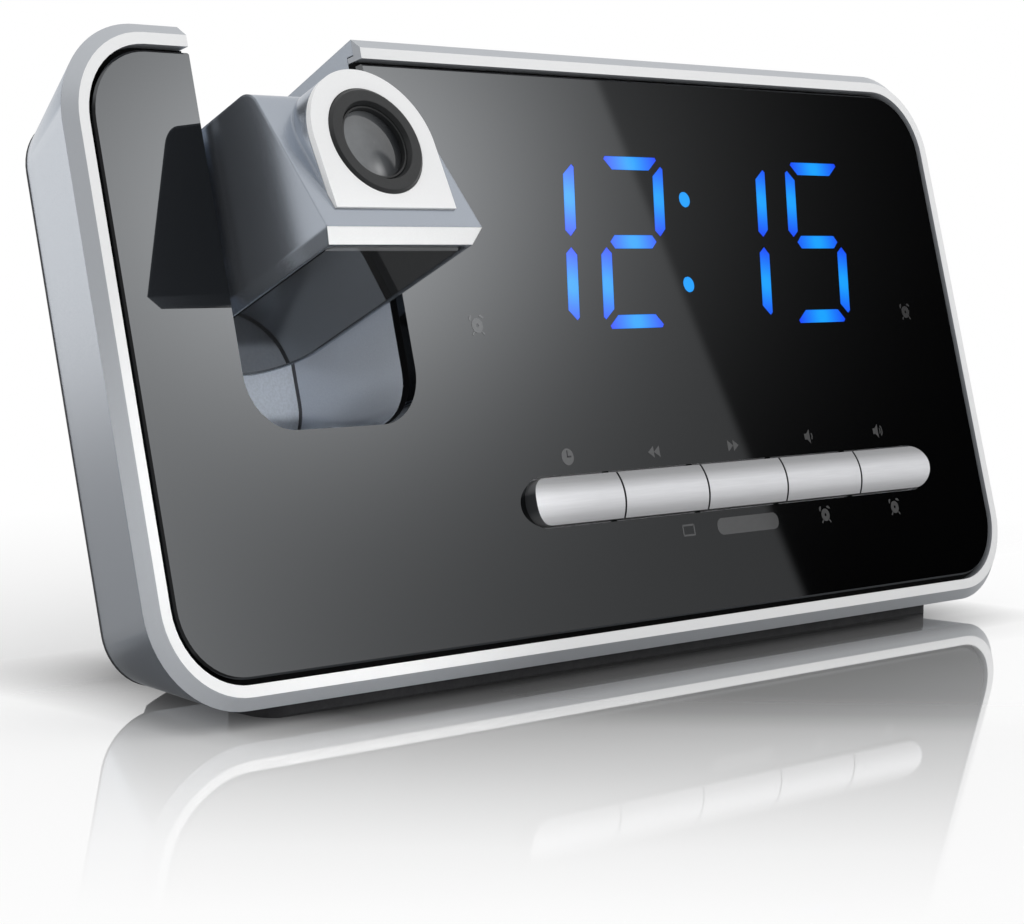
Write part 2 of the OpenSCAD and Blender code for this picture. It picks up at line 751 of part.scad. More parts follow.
module rear_feet() {
    pad_y = (cover_back + hump_d) / 2 * cos(lean) + hump_foot((cover_back + hump_d) / 2, 0) * sin(lean) - 0.5;
    color("#1d1e20") for (s = [-1, 1]) translate([s * (hump_hw - 14), pad_y, 0]) {
        cylinder(h = 0.4, r1 = pad_d / 2 - 0.4, r2 = pad_d / 2);
        translate([0, 0, 0.4 - eps]) cylinder(h = hump_floor - 0.4, r = pad_d / 2);
    }
}

// ---- tilting head ----

module pivot_bushes() {
    color("#d9d4c4") face() translate([notch_x, 0, 0]) for (s = [-1, 1]) mirror([s < 0 ? 1 : 0, 0, 0]) difference() {
        union() {
            cross_pin(bush_in, bush_out, bush_d / 2);
            cross_pin(notch_hw + notch_wall + 0.05, bush_out, bush_d / 2 + 1.2);
        }
        cross_pin(bush_in - 1, bush_out + 1, pin_d / 2 + run_fit);
    }
}

// Points along an arc, from one angle to another
function arc(c, r, a0, a1, steps) =
    [for (i = [0:steps]) let (a = a0 + (a1 - a0) * i / steps) c + r * [cos(a), sin(a)]];

// Side view of the head in d and v, moved in by some amount; open at the front when moved in
module head_profile(inset) {
    hollow = inset > 0;
    front = hollow ? -1 : 0;
    corner = [head_d - head_corner_r,
              head_top - (head_d - head_corner_r - head_top_bevel) * tan(head_slope) - head_corner_r / cos(head_slope)];
    front_top = hollow
        ? [[front, plate_top - 1], [2, plate_top - 1]]
        : [[front, head_top - head_top_bevel], [head_top_bevel, head_top]];
    polygon(concat(
        [[front, tongue_v + 0.3 + 3.2 * inset]],
        front_top,
        arc(corner, head_corner_r - inset, 90 - head_slope, 0, 6),
        arc([pivot_d, pivot_v], swing_r - inset, 0, tongue_turn(swing_r - inset), 12),
        [[tongue_d, tongue_v + 3.2 * inset]]
    ));
}

// Angle at which the line from the tongue's end touches the swing circle
function tongue_turn(r) =
    let (dx = pivot_d - tongue_d, dv = pivot_v - tongue_v)
    atan2(-dv, -dx) + acos(r / sqrt(dx * dx + dv * dv));

// Front view of the head in x and v, with round lower corners
module head_outline(inset) {
    hw = head_hw - inset;
    r = head_foot_r - inset;
    foot = tongue_v - 0.3 + inset;
    top = head_top + 1;
    translate([-hw, foot + r]) square([2 * hw, top - foot - r]);
    translate([r - hw, foot]) square([2 * (hw - r), r + 1]);
    for (s = [-1, 1]) translate([s * (hw - r), foot + r]) circle(r);
}

// Outline of the lens surround in x and d: straight at the front, round at the rear
module boss_outline(grow) {
    r = boss_r + grow;
    foot = optic_d - boss_flat - grow;
    difference() {
        translate([0, optic_d]) circle(r);
        translate([-r - 1, foot - r]) square([2 * r + 2, r]);
    }
    translate([-r, foot]) square([2 * r, optic_d - foot]);
}

module head_shell() {
    collar_v = head_top - 16;
    color("#b4bcc6") head() difference() {
        union() {
            difference() {
                intersection() {
                    along_x(-head_hw, head_hw) head_profile(0);
                    hull() {
                        slab(0, eps) translate([0, 0.3 - head_bevel]) head_outline(head_bevel);
                        slab(head_top_bevel, head_d + 1) head_outline(0);
                    }
                }
                intersection() {
                    along_x(head_wall + 1.2 - head_hw, head_hw - head_wall - 1.2) head_profile(head_wall);
                    slab(-2, head_d) head_outline(head_wall + 1.2);
                }
            }
            translate([0, 0, head_top - 8.4]) linear_extrude(boss_v - surround_t - head_top + 8.4) boss_outline(0);
            optic(collar_v, head_top - 6, tube_d / 2 + 2, tube_d / 2 + 2);
            for (s = [-1, 1]) mirror([s < 0 ? 1 : 0, 0, 0])
                cross_pin(head_hw - 5, notch_hw - 0.3 - thrust_gap, thrust_d / 2);
        }
        slab(-1, carrier_seat()) plate_outline(plate_groove + 0.05);
        translate([0, 0, boss_v - surround_t]) linear_extrude(3) boss_outline(run_fit);
        optic(collar_v - 1, boss_v + 1, tube_d / 2 + run_fit, tube_d / 2 + run_fit);
        optic(ring_foot() - 0.1, boss_v + 1, ring_flange() + 0.1, ring_flange() + 0.1);
        cross_pin(-notch_hw - 1, notch_hw + 1, pin_d / 2 + run_fit);
    }
}

// Outline of the head's glossy plate, widened by some amount
module plate_outline(grow) {
    hw = plate_hw + grow;
    foot = plate_foot - grow;
    top = plate_top + grow;
    r = plate_r + grow;
    translate([-hw, foot + r]) square([2 * hw, top - foot - r - 1]);
    translate([1 - hw, top - 1 - eps]) square([2 * (hw - 1), 1 + eps]);
    for (s = [-1, 1]) {
        translate([s * (hw - 1), top - 1]) circle(1, $fn = 32);
        translate([s * (hw - r), foot + r]) circle(r);
    }
    translate([r - hw, foot]) square([2 * (hw - r), r + 1]);
}

function carrier_seat() = panel_back + 0.8;
function ring_flange() = ring_d / 2 + 0.8;
function ring_foot() = boss_v - surround_t - 3.4;

module head_plate() {
    color("#101114") head() slab(panel_front, panel_back) plate_outline(0);
}

module head_carrier() {
    color("#0b0b0c") head() difference() {
        slab(panel_back, carrier_seat() - 0.05) plate_outline(plate_groove);
        slab(0, carrier_seat() + 1) plate_outline(-2.5);
    }
}

module lens_surround() {
    color("#eef0f2") head() difference() {
        translate([0, 0, boss_v - surround_t]) linear_extrude(surround_t) boss_outline(0);
        optic(boss_v - 3, boss_v + 1, ring_d / 2 + 0.08, ring_d / 2 + 0.08);
    }
}

module focus_ring() {
    top = boss_v + 0.4;
    edge = 0.4;
    bore = barrel_d / 2 + 0.1;
    color("#141516") head() difference() {
        union() {
            optic(ring_foot(), boss_v - surround_t - 0.1, ring_flange(), ring_flange());
            optic(ring_foot() + 1, top - edge, ring_d / 2, ring_d / 2);
            optic(top - edge - eps, top, ring_d / 2, ring_d / 2 - edge);
        }
        optic(ring_foot() - 1, top + 1, bore, bore);
        optic(top - 0.7, top + eps, bore, bore + 0.35);
    }
}

// Front of the barrel along the light path
function barrel_top() = boss_v - 0.3;
function tube_top() = ring_foot() - 0.15;
function tube_foot() = head_top - 24.4;

module lens_barrel() {
    color("#232427") head() difference() {
        optic(barrel_top() - 8, barrel_top(), barrel_d / 2, barrel_d / 2);
        optic(barrel_top() - 9, barrel_top() + 1, barrel_d / 2 - 1.2, barrel_d / 2 - 1.2);
        optic(barrel_top() - 1.3, barrel_top() + 1, barrel_d / 2 - 0.3, barrel_d / 2 - 0.3);
    }
}

// Round lens with two bulging faces
module lens(half, sag, edge) {
    steps = 8;
    arc = [for (i = [0:steps]) [half * i / steps, edge / 2 + sag * (1 - (i / steps) * (i / steps))]];
    rotate_extrude() polygon(concat(arc, [for (i = [steps:-1:0]) [arc[i][0], -arc[i][1]]]));
}

module projector_lens() {
    color("#9fb2c4") head() translate([0, optic_d, barrel_top() - 0.9])
        lens(barrel_d / 2 - 0.35, 0.7, 0.2);
}

module optic_tube() {
    color("#232427") head() difference() {
        optic(tube_foot(), tube_top(), tube_d / 2, tube_d / 2);
        optic(tube_foot() - 1, tube_top() + 1, barrel_d / 2 + 0.1, barrel_d / 2 + 0.1);
    }
}

module lcd_cell() {
    color("#6f7f8c") head() optic(tube_foot() + 6.6, tube_foot() + 7.8, barrel_d / 2, barrel_d / 2);
}

module condenser_lens() {
    color("#c8d4de") head() translate([0, optic_d, tube_foot() + 3.8])
        lens(barrel_d / 2, 1.2, 0.6);
}

module lamp_board() {
    color("#1f5a3a") head() translate([0, optic_d, tube_foot() - 0.1 - board_t / 2])
        cube([16, 15, board_t], center = true);
}

module projector_led() {
    color("#e9e3c8") head() optic(tube_foot() - 0.1, tube_foot() + 1.4, 2.5, 2.2);
}

// Tilt pin, from inside the head's side wall into its bush
module tilt_pin(s, bore) {
    mirror([s < 0 ? 1 : 0, 0, 0]) difference() {
        cross_pin(head_hw - 4.6, bush_out - 0.1, pin_d / 2);
        if (bore > 0) cross_pin(head_hw - 6, bush_out + 1, bore);
    }
}

module left_pivot_pin() {
    color("#c2c6cc") head() tilt_pin(-1, 0);
}

module right_pivot_pin() {
    color("#c2c6cc") head() tilt_pin(1, 1.5);
}

front_panel();
front_carrier();
bezel();
main_housing();
rear_cover();
rear_screws();
battery_door();
backup_cells();
battery_contacts();
display_segments();
led_module();
display_board();
key_board();
tact_switches();
clock_button();
back_button();
forward_button();
quieter_button();
louder_button();
speaker();
main_board();
board_screws();
power_jack();
front_foot();
rear_feet();
pivot_bushes();
head_shell();
head_carrier();
head_plate();
lens_surround();
focus_ring();
lens_barrel();
projector_lens();
optic_tube();
lcd_cell();
condenser_lens();
lamp_board();
projector_led();
left_pivot_pin();
right_pivot_pin();
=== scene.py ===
"""Finish of a projection alarm clock: paints, gloss, lit digits, printed signs, floor and light."""

import math

import bpy
import numpy as np
from bpy.props import FloatProperty, FloatVectorProperty, PointerProperty
from mathutils import Matrix, Vector


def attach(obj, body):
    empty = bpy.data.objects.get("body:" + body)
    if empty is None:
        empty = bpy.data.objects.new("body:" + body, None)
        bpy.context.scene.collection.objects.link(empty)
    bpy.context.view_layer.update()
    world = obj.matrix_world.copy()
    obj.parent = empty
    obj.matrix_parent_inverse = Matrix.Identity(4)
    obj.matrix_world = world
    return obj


bl_info = {
    "name": "Projection Clock Finish",
    "version": (1, 0, 0),
    "blender": (4, 5, 0),
    "location": "View3D > Sidebar > Clock",
    "description": "Dresses the clock's parts and sets its floor, light and camera",
    "category": "Object",
}

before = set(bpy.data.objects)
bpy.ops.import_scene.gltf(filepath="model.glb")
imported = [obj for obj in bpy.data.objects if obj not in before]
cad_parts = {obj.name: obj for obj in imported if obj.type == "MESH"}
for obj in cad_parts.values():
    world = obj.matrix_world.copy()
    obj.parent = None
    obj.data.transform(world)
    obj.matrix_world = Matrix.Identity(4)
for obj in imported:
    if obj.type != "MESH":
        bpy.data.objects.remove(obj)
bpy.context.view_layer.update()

MM = 0.001
# Face coordinates, in millimetres: x across, v up the face, and depth d behind it. The face leans back by
# LEAN and its middle stands at FACE_HEIGHT. The panel's front lies at PANEL_FRONT and looks along FACE_OUT.
LEAN = math.radians(15.27)
FACE_HEIGHT = 48.168
PANEL_FRONT = 0.1
FACE_OUT = (0.0, -math.cos(LEAN), math.sin(LEAN))
# Way of the projector's light, and the way the head's front lip faces, with the head at rest
LIGHT_WAY = (0.0, -0.8922, 0.4517)
HEAD_LIP = (0.0, -0.950, -0.311)
# Middle of the head across the face, height and depth of its pivot, and the middle of its sides, measured
# from the pivot along LIGHT_WAY
HEAD_X = -57.05
HEAD_PIVOT = (16.85, 11.45)
HEAD_CROWN = 10.15
# The crown of the head's sides has CROWN_SLOPE at CROWN_REACH metres from their middle
CROWN_SLOPE = 0.18
CROWN_REACH = 0.019
# Height where the painted highlight line along the edge of the head's plate starts, on the closed head, and
# radius of the lens glass
PLATE_HIGHLIGHT_V = 42.8
LENS_RADIUS = 6.5
# Depth of the notch's rear wall behind the face, and a place across the notch, between its two side walls
POCKET_DEPTH = 27.2
NOTCH_X = -61.0
# Digits: middles across the face, height of the middle bar, slant, and the middles of the bars in a digit
DIGIT_X = (-10.1, 10.7, 36.5, 57.3)
DIGIT_V = 16.5
SLANT = 0.197
BAR_SPOTS = {"a": (0, 12.85), "b": (6.45, 7), "c": (6.45, -7), "d": (0, -12.85), "e": (-6.45, -7),
             "f": (-6.45, 7), "g": (0, 0)}
LIT_BARS = ("bc", "abged", "bc", "afgcd")
COLON_X = 23.4
COLON_RISE = 7.05
# Where the light guide is brightest: the middles of the lit bars and of the colon's dots, this deep behind
# the face, and the distance in metres over which the tone goes from bright to deep
LAMP_DEPTH = 0.2
BAR_FADE = 0.0068
LAMP_SPOTS = [(x + BAR_SPOTS[name][0] + SLANT * BAR_SPOTS[name][1], DIGIT_V + BAR_SPOTS[name][1])
              for x, lit in zip(DIGIT_X, LIT_BARS) for name in lit]
LAMP_SPOTS += [(COLON_X + SLANT * rise, DIGIT_V + rise) for rise in (-COLON_RISE, COLON_RISE)]
# Painted shading of the keys by the rise of the surface, a painted highlight where the crown looks a little
# up and painted shade where it looks down or steeply up: 0 looks down, 0.5 looks level, 1 looks up
KEY_PAINTED_SHADING = [(0.12, 0.2), (0.34, 0.42), (0.45, 0.62), (0.5, 0.78), (0.6, 1.0), (0.68, 0.95), (0.8, 0.42),
             (0.9, 0.28)]
# Signs across the face: over the keys, under the keys, and beside the digits with their heights
CLOCK_SIGN_X = -13.0
SEEK_SIGNS_X = (6.4, 25.5)
SOUND_SIGNS_X = (45.2, 63.8)
SLEEP_SIGN_X = (9.9, 12.5)
OFF_FIELD_X = 25.7
ALARM_SIGNS_X = (45.6, 64.6)
DIGIT_ALARMS = ((-27.1, 3.7), (78.2, 3.9))
# Floor, in metres: half its width, and the distances from the origin over which lit paper turns into plain
# white and the mirror ends
FLOOR_HALF = 6.0
PAPER_END = (0.09, 0.22)
MIRROR_END = (0.17, 0.34)
# Share of mirror in the floor while -(x + y) goes from 0 to MIRROR_REACH, which is towards the camera
MIRROR_REACH = 0.25
MIRROR_SHARE = [(0.0, 0.8), (0.2, 0.75), (0.28, 0.65), (0.35, 0.47), (0.41, 0.40), (0.52, 0.30), (0.62, 0.20),
                (0.74, 0.08), (0.9, 0.0)]
# Darkness of the painted contact shadow while y goes through CONTACT_FRONT, and where it ends towards both
# sides. It and the mirror both end behind the clock's front, over REAR_END of y.
CONTACT_FRONT = (-0.035, -0.005)
CONTACT_SHADE = [(0.0, 0.0), (0.33, 0.1), (0.63, 0.62), (0.93, 0.88), (1.0, 0.9)]
CONTACT_SIDE = (0.064, 0.092)
REAR_END = (0.03, 0.055)
# What the panel mirrors: a wide and a narrow soft lamp on a bright card, and one in the dark beyond its
# edge, each as azimuth and height in degrees, power and narrowness. WIDE_MOST caps the wide one, the levels
# are those of card and dark without lamps, and CARD_EDGE points across the card's straight edge.
WIDE_LAMP, WIDE_MOST = (-104.0, 10.4, 402.0, 15.7), 1.2
CARD_LAMP, CARD_LEVEL = (-44.75, 22.9, 2.50, 284.7), 0.221
DARK_LAMP, DARK_LEVEL = (-42.5, 22.0, 0.54, 218.7), 0.002
CARD_EDGE = (-0.61425, -0.78902, 0.01176)
# Levels of the room and of its rear that mirrors see, from straight down at 0 to straight up at 1
ROOM_LEVELS = [(0.0, 0.1), (0.2, 0.1), (0.26, 0.5), (0.44, 0.57), (0.56, 0.82), (1.0, 0.82)]
REAR_LEVELS = [(0.0, 0.1), (0.3, 0.1), (0.32, 0.25), (0.40, 0.33), (0.43, 0.36), (0.45, 0.95), (0.5, 1.0),
               (0.6, 0.9), (1.0, 0.82)]
KEY_NODES = ["clock_button", "back_button", "forward_button", "quieter_button", "louder_button"]


# ---- shapes ----

def on_face(x, v, depth):
    """World place, in metres, of face coordinates in millimetres: x stays, y = v sin(lean) + d cos(lean) and
    z = v cos(lean) - d sin(lean) + height of the face's middle."""
    x, v, depth = np.broadcast_arrays(np.asarray(x, float), np.asarray(v, float), np.asarray(depth, float))
    y = v * math.sin(LEAN) + depth * math.cos(LEAN)
    z = v * math.cos(LEAN) - depth * math.sin(LEAN) + FACE_HEIGHT
    return np.stack([x, y, z], axis=-1) * MM


def add_mesh(name, points, faces, body="clock_body"):
    """A mesh object at the origin with its place in its points, riding on a body."""
    mesh = bpy.data.meshes.new(name)
    mesh.from_pydata(points.tolist(), [], faces)
    mesh.update()
    piece = bpy.data.objects.new(name, mesh)
    bpy.context.scene.collection.objects.link(piece)
    if body:
        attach(piece, body)
    return piece


def plate(outline, thickness):
    """Closed thin print on the panel: the outline at two depths, two caps and one side face per edge."""
    outline = np.asarray(outline, float)
    area = np.sum(outline[:, 0] * np.roll(outline[:, 1], -1) - np.roll(outline[:, 0], -1) * outline[:, 1])
    if area < 0:
        outline = outline[::-1]
    count = len(outline)
    front = on_face(outline[:, 0], outline[:, 1], PANEL_FRONT - thickness)
    back = on_face(outline[:, 0], outline[:, 1], PANEL_FRONT)
    near = list(range(count))
    far = list(range(2 * count - 1, count - 1, -1))
    sides = [[i, i + count, (i + 1) % count + count, (i + 1) % count] for i in range(count)]
    return np.concatenate([front, back]), [near, far] + sides


def hoop(centre, inner, outer, thickness, start=0.0, sweep=360.0, steps=40):
    """Closed ring or arc: four corners (outer and inner edge, front and back) carried round the centre."""
    whole = sweep >= 360.0
    count = steps if whole else steps + 1
    turn = np.radians(start + sweep * np.arange(count) / steps)
    points = []
    for radius, depth in ((outer, -thickness), (inner, -thickness), (inner, 0.0), (outer, 0.0)):
        x, v = centre[0] + radius * np.cos(turn), centre[1] + radius * np.sin(turn)
        points.append(on_face(x, v, PANEL_FRONT + depth))
    faces = []
    for i in range(steps):
        j = (i + 1) % count
        for k in range(4):
            m = (k + 1) % 4
            faces.append([k * count + i, k * count + j, m * count + j, m * count + i])
    if not whole:
        faces.append([0, count, 2 * count, 3 * count])
        faces.append([4 * count - 1, 3 * count - 1, 2 * count - 1, count - 1])
    return np.concatenate(points), faces


def join(shapes):
    """Several (points, faces) as one."""
    points, faces, base = [], [], 0
    for shape_points, shape_faces in shapes:
        points.append(shape_points)
        faces += [[base + i for i in face] for face in shape_faces]
        base += len(shape_points)
    return np.concatenate(points), faces


def round_outline(cx, cv, half_w, half_v, radius, steps=10):
    """Rounded rectangle: four quarter circles of the given radius, joined by straight edges."""
    turn = np.radians(np.linspace(0, 90, steps + 1))
    corners = [(1, 1, 0), (-1, 1, 90), (-1, -1, 180), (1, -1, 270)]
    runs = []
    for sx, sv, first in corners:
        angle = turn + math.radians(first)
        runs.append(np.stack([cx + sx * (half_w - radius) + radius * np.cos(angle),
                              cv + sv * (half_v - radius) + radius * np.sin(angle)], axis=1))
    return np.concatenate(runs)


def disc(cx, cv, radius, steps=32):
    """Circle outline."""
    turn = np.linspace(0, 2 * math.pi, steps, endpoint=False)
    return np.stack([cx + radius * np.cos(turn), cv + radius * np.sin(turn)], axis=1)


def bar(x0, v0, x1, v1, width):
    """Straight stroke: a rectangle of the given width round a line."""
    along = np.array([x1 - x0, v1 - v0], float)
    across = np.array([-along[1], along[0]]) / np.linalg.norm(along) * width / 2
    a, b = np.array([x0, v0]), np.array([x1, v1])
    return np.array([a - across, b - across, b + across, a + across])


# ---- materials ----

class Paint:
    """A Principled material with short helpers for procedural detail on Object coordinates."""

    def __init__(self, name, color, roughness, metallic=0.0):
        self.material = bpy.data.materials.new(name)
        self.material.use_nodes = True
        self.tree = self.material.node_tree
        self.shader = self.tree.nodes["Principled BSDF"]
        self.set("Base Color", (*color, 1.0))
        self.set("Roughness", roughness)
        self.set("Metallic", metallic)
        where = self.tree.nodes.new("ShaderNodeTexCoord")
        self.place = where.outputs["Object"]
        self.facing = where.outputs["Normal"]

    def set(self, socket, value):
        """Sets a socket of the shader."""
        self.shader.inputs[socket].default_value = value

    def link(self, source, target):
        self.tree.links.new(source, target)

    def noise(self, scale, detail=3.0, stretch=(1.0, 1.0, 1.0)):
        """Fine noise on Object coordinates, stretched along the axes with a small number."""
        mapping = self.tree.nodes.new("ShaderNodeMapping")
        mapping.inputs["Scale"].default_value = stretch
        self.link(self.place, mapping.inputs["Vector"])
        texture = self.tree.nodes.new("ShaderNodeTexNoise")
        texture.inputs["Scale"].default_value = scale
        texture.inputs["Detail"].default_value = detail
        self.link(mapping.outputs["Vector"], texture.inputs["Vector"])
        return texture.outputs["Fac"]

    def span(self, source, low, high, start=0.35, end=0.65):
        """Goes from low to high while the source goes from start to end."""
        node = self.tree.nodes.new("ShaderNodeMapRange")
        for name, value in (("From Min", start), ("From Max", end), ("To Min", low), ("To Max", high)):
            node.inputs[name].default_value = value
        self.link(source, node.inputs["Value"])
        return node.outputs["Result"]

    def shades(self, source, stops):
        """Colour that follows a value through a list of (value, colour), from 0 to 1."""
        ramp = self.tree.nodes.new("ShaderNodeValToRGB")
        colors = ramp.color_ramp.elements
        while len(colors) < len(stops):
            colors.new(0.5)
        for element, (value, color) in zip(colors, stops):
            element.position = value
            element.color = (*color, 1.0)
        self.link(source, ramp.inputs["Fac"])
        return ramp.outputs["Color"]

    def tint(self, source, low, high):
        """Base colour between two tones."""
        self.link(self.shades(source, [(0.35, low), (0.65, high)]), self.shader.inputs["Base Color"])

    def along(self, source, direction):
        """Dot product of a vector with a direction."""
        node = self.tree.nodes.new("ShaderNodeVectorMath")
        node.operation = "DOT_PRODUCT"
        self.link(source, node.inputs[0])
        node.inputs[1].default_value = direction
        return node.outputs["Value"]

    def calc(self, kind, a, b=0.0):
        """One sum on two values or sockets."""
        node = self.tree.nodes.new("ShaderNodeMath")
        node.operation = kind
        for socket, value in zip(node.inputs, (a, b)):
            if isinstance(value, (int, float)):
                socket.default_value = value
            else:
                self.link(value, socket)
        return node.outputs["Value"]

    def blend(self, mask, low, high, kind="MIX"):
        """Colour that goes from low to high with a mask, each a colour or a socket."""
        node = self.tree.nodes.new("ShaderNodeMix")
        node.data_type = "RGBA"
        node.blend_type = kind
        if isinstance(mask, (int, float)):
            node.inputs[0].default_value = mask
        else:
            self.link(mask, node.inputs[0])
        for socket, color in ((node.inputs[6], low), (node.inputs[7], high)):
            if isinstance(color, tuple):
                socket.default_value = (*color, 1.0)
            else:
                self.link(color, socket)
        return node.outputs[2]

    def speckle(self, color, scale, amount, stretch=(1.0, 1.0, 1.0)):
        """Links a colour to the base, a little lighter and darker in fine grains."""
        grains = self.noise(scale, 2.0, stretch)
        grey = self.shades(grains, [(0.35, (1 - amount,) * 3), (0.65, (1.0,) * 3)])
        self.link(self.blend(1.0, color, grey, "MULTIPLY"), self.shader.inputs["Base Color"])
        return grains

    def grain(self, source, height, edge=0.0):
        """Bump of a height in metres, on edges rounded by a radius."""
        bump = self.tree.nodes.new("ShaderNodeBump")
        bump.inputs["Distance"].default_value = height
        self.link(source, bump.inputs["Height"])
        if edge > 0:
            bevel = self.tree.nodes.new("ShaderNodeBevel")
            bevel.samples = 4
            bevel.inputs["Radius"].default_value = edge
            self.link(bevel.outputs["Normal"], bump.inputs["Normal"])
        self.link(bump.outputs["Normal"], self.shader.inputs["Normal"])


def lighter(color, factor):
    """A colour times a factor, up to white."""
    return tuple(min(1.0, c * factor) for c in color)


def satin_paint(name, color, roughness, grain_scale, metallic=0.9):
    """Metallic paint: fine flake in tone and roughness, soft edges."""
    paint = Paint(name, color, roughness, metallic)
    flake = paint.noise(grain_scale, 2.0)
    paint.tint(flake, lighter(color, 0.97), lighter(color, 1.03))
    paint.link(paint.span(paint.noise(grain_scale * 0.6), roughness - 0.02, roughness + 0.02),
               paint.shader.inputs["Roughness"])
    paint.grain(flake, 0.0000008, 0.0002)
    return paint


def moulded_plastic(name, color, roughness, grain_scale, height, edge=0.0002):
    """Moulded plastic: spark-eroded texture with a slight change of tone."""
    paint = Paint(name, color, roughness)
    texture = paint.noise(grain_scale, 4.0)
    paint.tint(texture, lighter(color, 0.9), lighter(color, 1.12))
    paint.link(paint.span(paint.noise(grain_scale * 0.3), roughness - 0.04, roughness + 0.05),
               paint.shader.inputs["Roughness"])
    paint.grain(texture, height, edge)
    return paint


def white_paint(name, white, silver=None):
    """Smooth white plastic. With a silver, every face that doesn't look the way the display does is painted
    in it."""
    paint = Paint(name, white, 0.3)
    color = white
    if silver:
        rim = paint.span(paint.along(paint.facing, FACE_OUT), 0.0, 1.0, 0.86, 0.92)
        color = paint.blend(rim, silver, white)
        paint.link(paint.span(rim, 0.25, 0.0, 0.0, 1.0), paint.shader.inputs["Metallic"])
    grains = paint.speckle(color, 3000.0, 0.012)
    paint.link(paint.span(paint.noise(1800.0), 0.29, 0.33), paint.shader.inputs["Roughness"])
    paint.grain(grains, 0.0000008)
    return paint


def housing_paint(name, silver):
    """Satin metallic paint, less metallic on the right wall of the notch. That wall faces left, and it lies
    right of NOTCH_X, where the clock's own left side doesn't."""
    paint = satin_paint(name, silver, 0.25, 5000.0)
    left = paint.span(paint.along(paint.facing, (-1.0, 0.0, 0.0)), 0.0, 1.0, 0.3, 0.8)
    across = paint.along(paint.place, (1.0, 0.0, 0.0))
    inner = paint.span(across, 0.0, 1.0, (NOTCH_X - 1.0) * MM, (NOTCH_X + 1.0) * MM)
    wall = paint.calc("MULTIPLY", left, inner)
    paint.link(paint.span(wall, 0.9, 0.25, 0.0, 1.0), paint.shader.inputs["Metallic"])
    return paint


def head_paint(name, silver, white):
    """Housing paint on the head: its front lip is white, and the sides are crowned along the light's way. The
    crown's height is -slope u^2 / (2 reach), with u the way along the light from the middle of the side."""
    paint = Paint(name, silver, 0.24, 0.9)
    lip = paint.span(paint.along(paint.facing, HEAD_LIP), 0.0, 1.0, 0.94, 0.96)
    paint.speckle(paint.blend(lip, silver, white), 5000.0, 0.03)
    paint.link(paint.span(lip, 0.9, 0.0, 0.0, 1.0), paint.shader.inputs["Metallic"])
    paint.link(paint.span(paint.noise(3000.0), 0.22, 0.26), paint.shader.inputs["Roughness"])
    middle = float(np.dot(on_face(0.0, *HEAD_PIVOT), LIGHT_WAY)) + HEAD_CROWN * MM
    u = paint.calc("SUBTRACT", paint.along(paint.place, LIGHT_WAY), middle)
    crown = paint.calc("MULTIPLY", paint.calc("MULTIPLY", u, u), -CROWN_SLOPE / (2 * CROWN_REACH))
    paint.grain(crown, 1.0, 0.0005)
    return paint


def cover_plastic(name, color, silver):
    """Dark textured cover whose wall in the notch is painted silver: that wall faces front, no deeper than
    POCKET_DEPTH."""
    paint = Paint(name, color, 0.55)
    depth = paint.along(paint.place, (0.0, math.cos(LEAN), -math.sin(LEAN)))
    front = paint.span(paint.along(paint.facing, FACE_OUT), 0.0, 1.0, 0.88, 0.92)
    wall = POCKET_DEPTH - FACE_HEIGHT * math.sin(LEAN)
    near = paint.span(depth, 1.0, 0.0, wall * MM, (wall + 0.1) * MM)
    mask = paint.calc("MULTIPLY", front, near)
    texture = paint.speckle(paint.blend(mask, color, silver), 2600.0, 0.12)
    paint.link(paint.span(mask, 0.0, 0.3, 0.0, 1.0), paint.shader.inputs["Metallic"])
    paint.grain(texture, 0.00003, 0.0003)
    return paint


def key_paint_with_painted_shading(name, stops):
    """Brushed key paint with painted light: its tone follows the crown, from the lower edge to the upper one,
    as a painted highlight and painted shade. The end that faces left is painted dark, as painted shade."""
    paint = Paint(name, stops[2][1], 0.32, 0.2)
    rise = paint.span(paint.along(paint.facing, (0.0, 0.0, 1.0)), 0.0, 1.0, -1.0, 1.0)
    end = paint.span(paint.along(paint.facing, (-1.0, 0.0, 0.0)), 0.0, 1.0, 0.55, 0.95)
    # Painted shade: near-black on the end that faces left; elsewhere the painted highlight and shade of the
    # crown
    color = paint.blend(end, paint.shades(rise, stops), (0.05, 0.052, 0.056))
    lines = paint.speckle(color, 4000.0, 0.04, (0.05, 1.0, 1.0))
    paint.link(paint.span(lines, 0.30, 0.36), paint.shader.inputs["Roughness"])
    paint.grain(lines, 0.000002, 0.0001)
    return paint


def gloss_panel(name, color, roughness=0.02):
    """A colour under a polished hard coat: a mirror with the finest haze."""
    paint = Paint(name, color, roughness)
    paint.set("IOR", 2.0)
    paint.set("Specular Tint", (0.93, 0.965, 1.0, 1.0))
    paint.speckle(color, 900.0, 0.05)
    return paint


def head_mirror(name, color, edge_highlight):
    """The head's black plate with a thin lighter line along its outer end, a painted highlight on the plate's
    edge.
    """
    paint = gloss_panel(name, color, 0.05)
    pivot = float(np.dot(on_face(0.0, *HEAD_PIVOT), LIGHT_WAY))
    start = pivot + (PLATE_HIGHLIGHT_V - HEAD_PIVOT[0]) * MM
    reach = paint.calc("SUBTRACT", paint.along(paint.place, LIGHT_WAY), start)
    # Mask of the painted edge highlight, from where it starts outwards
    mask = paint.span(reach, 0.0, 1.0, 0.0, 0.0001)
    paint.speckle(paint.blend(mask, color, edge_highlight), 900.0, 0.05)
    return paint


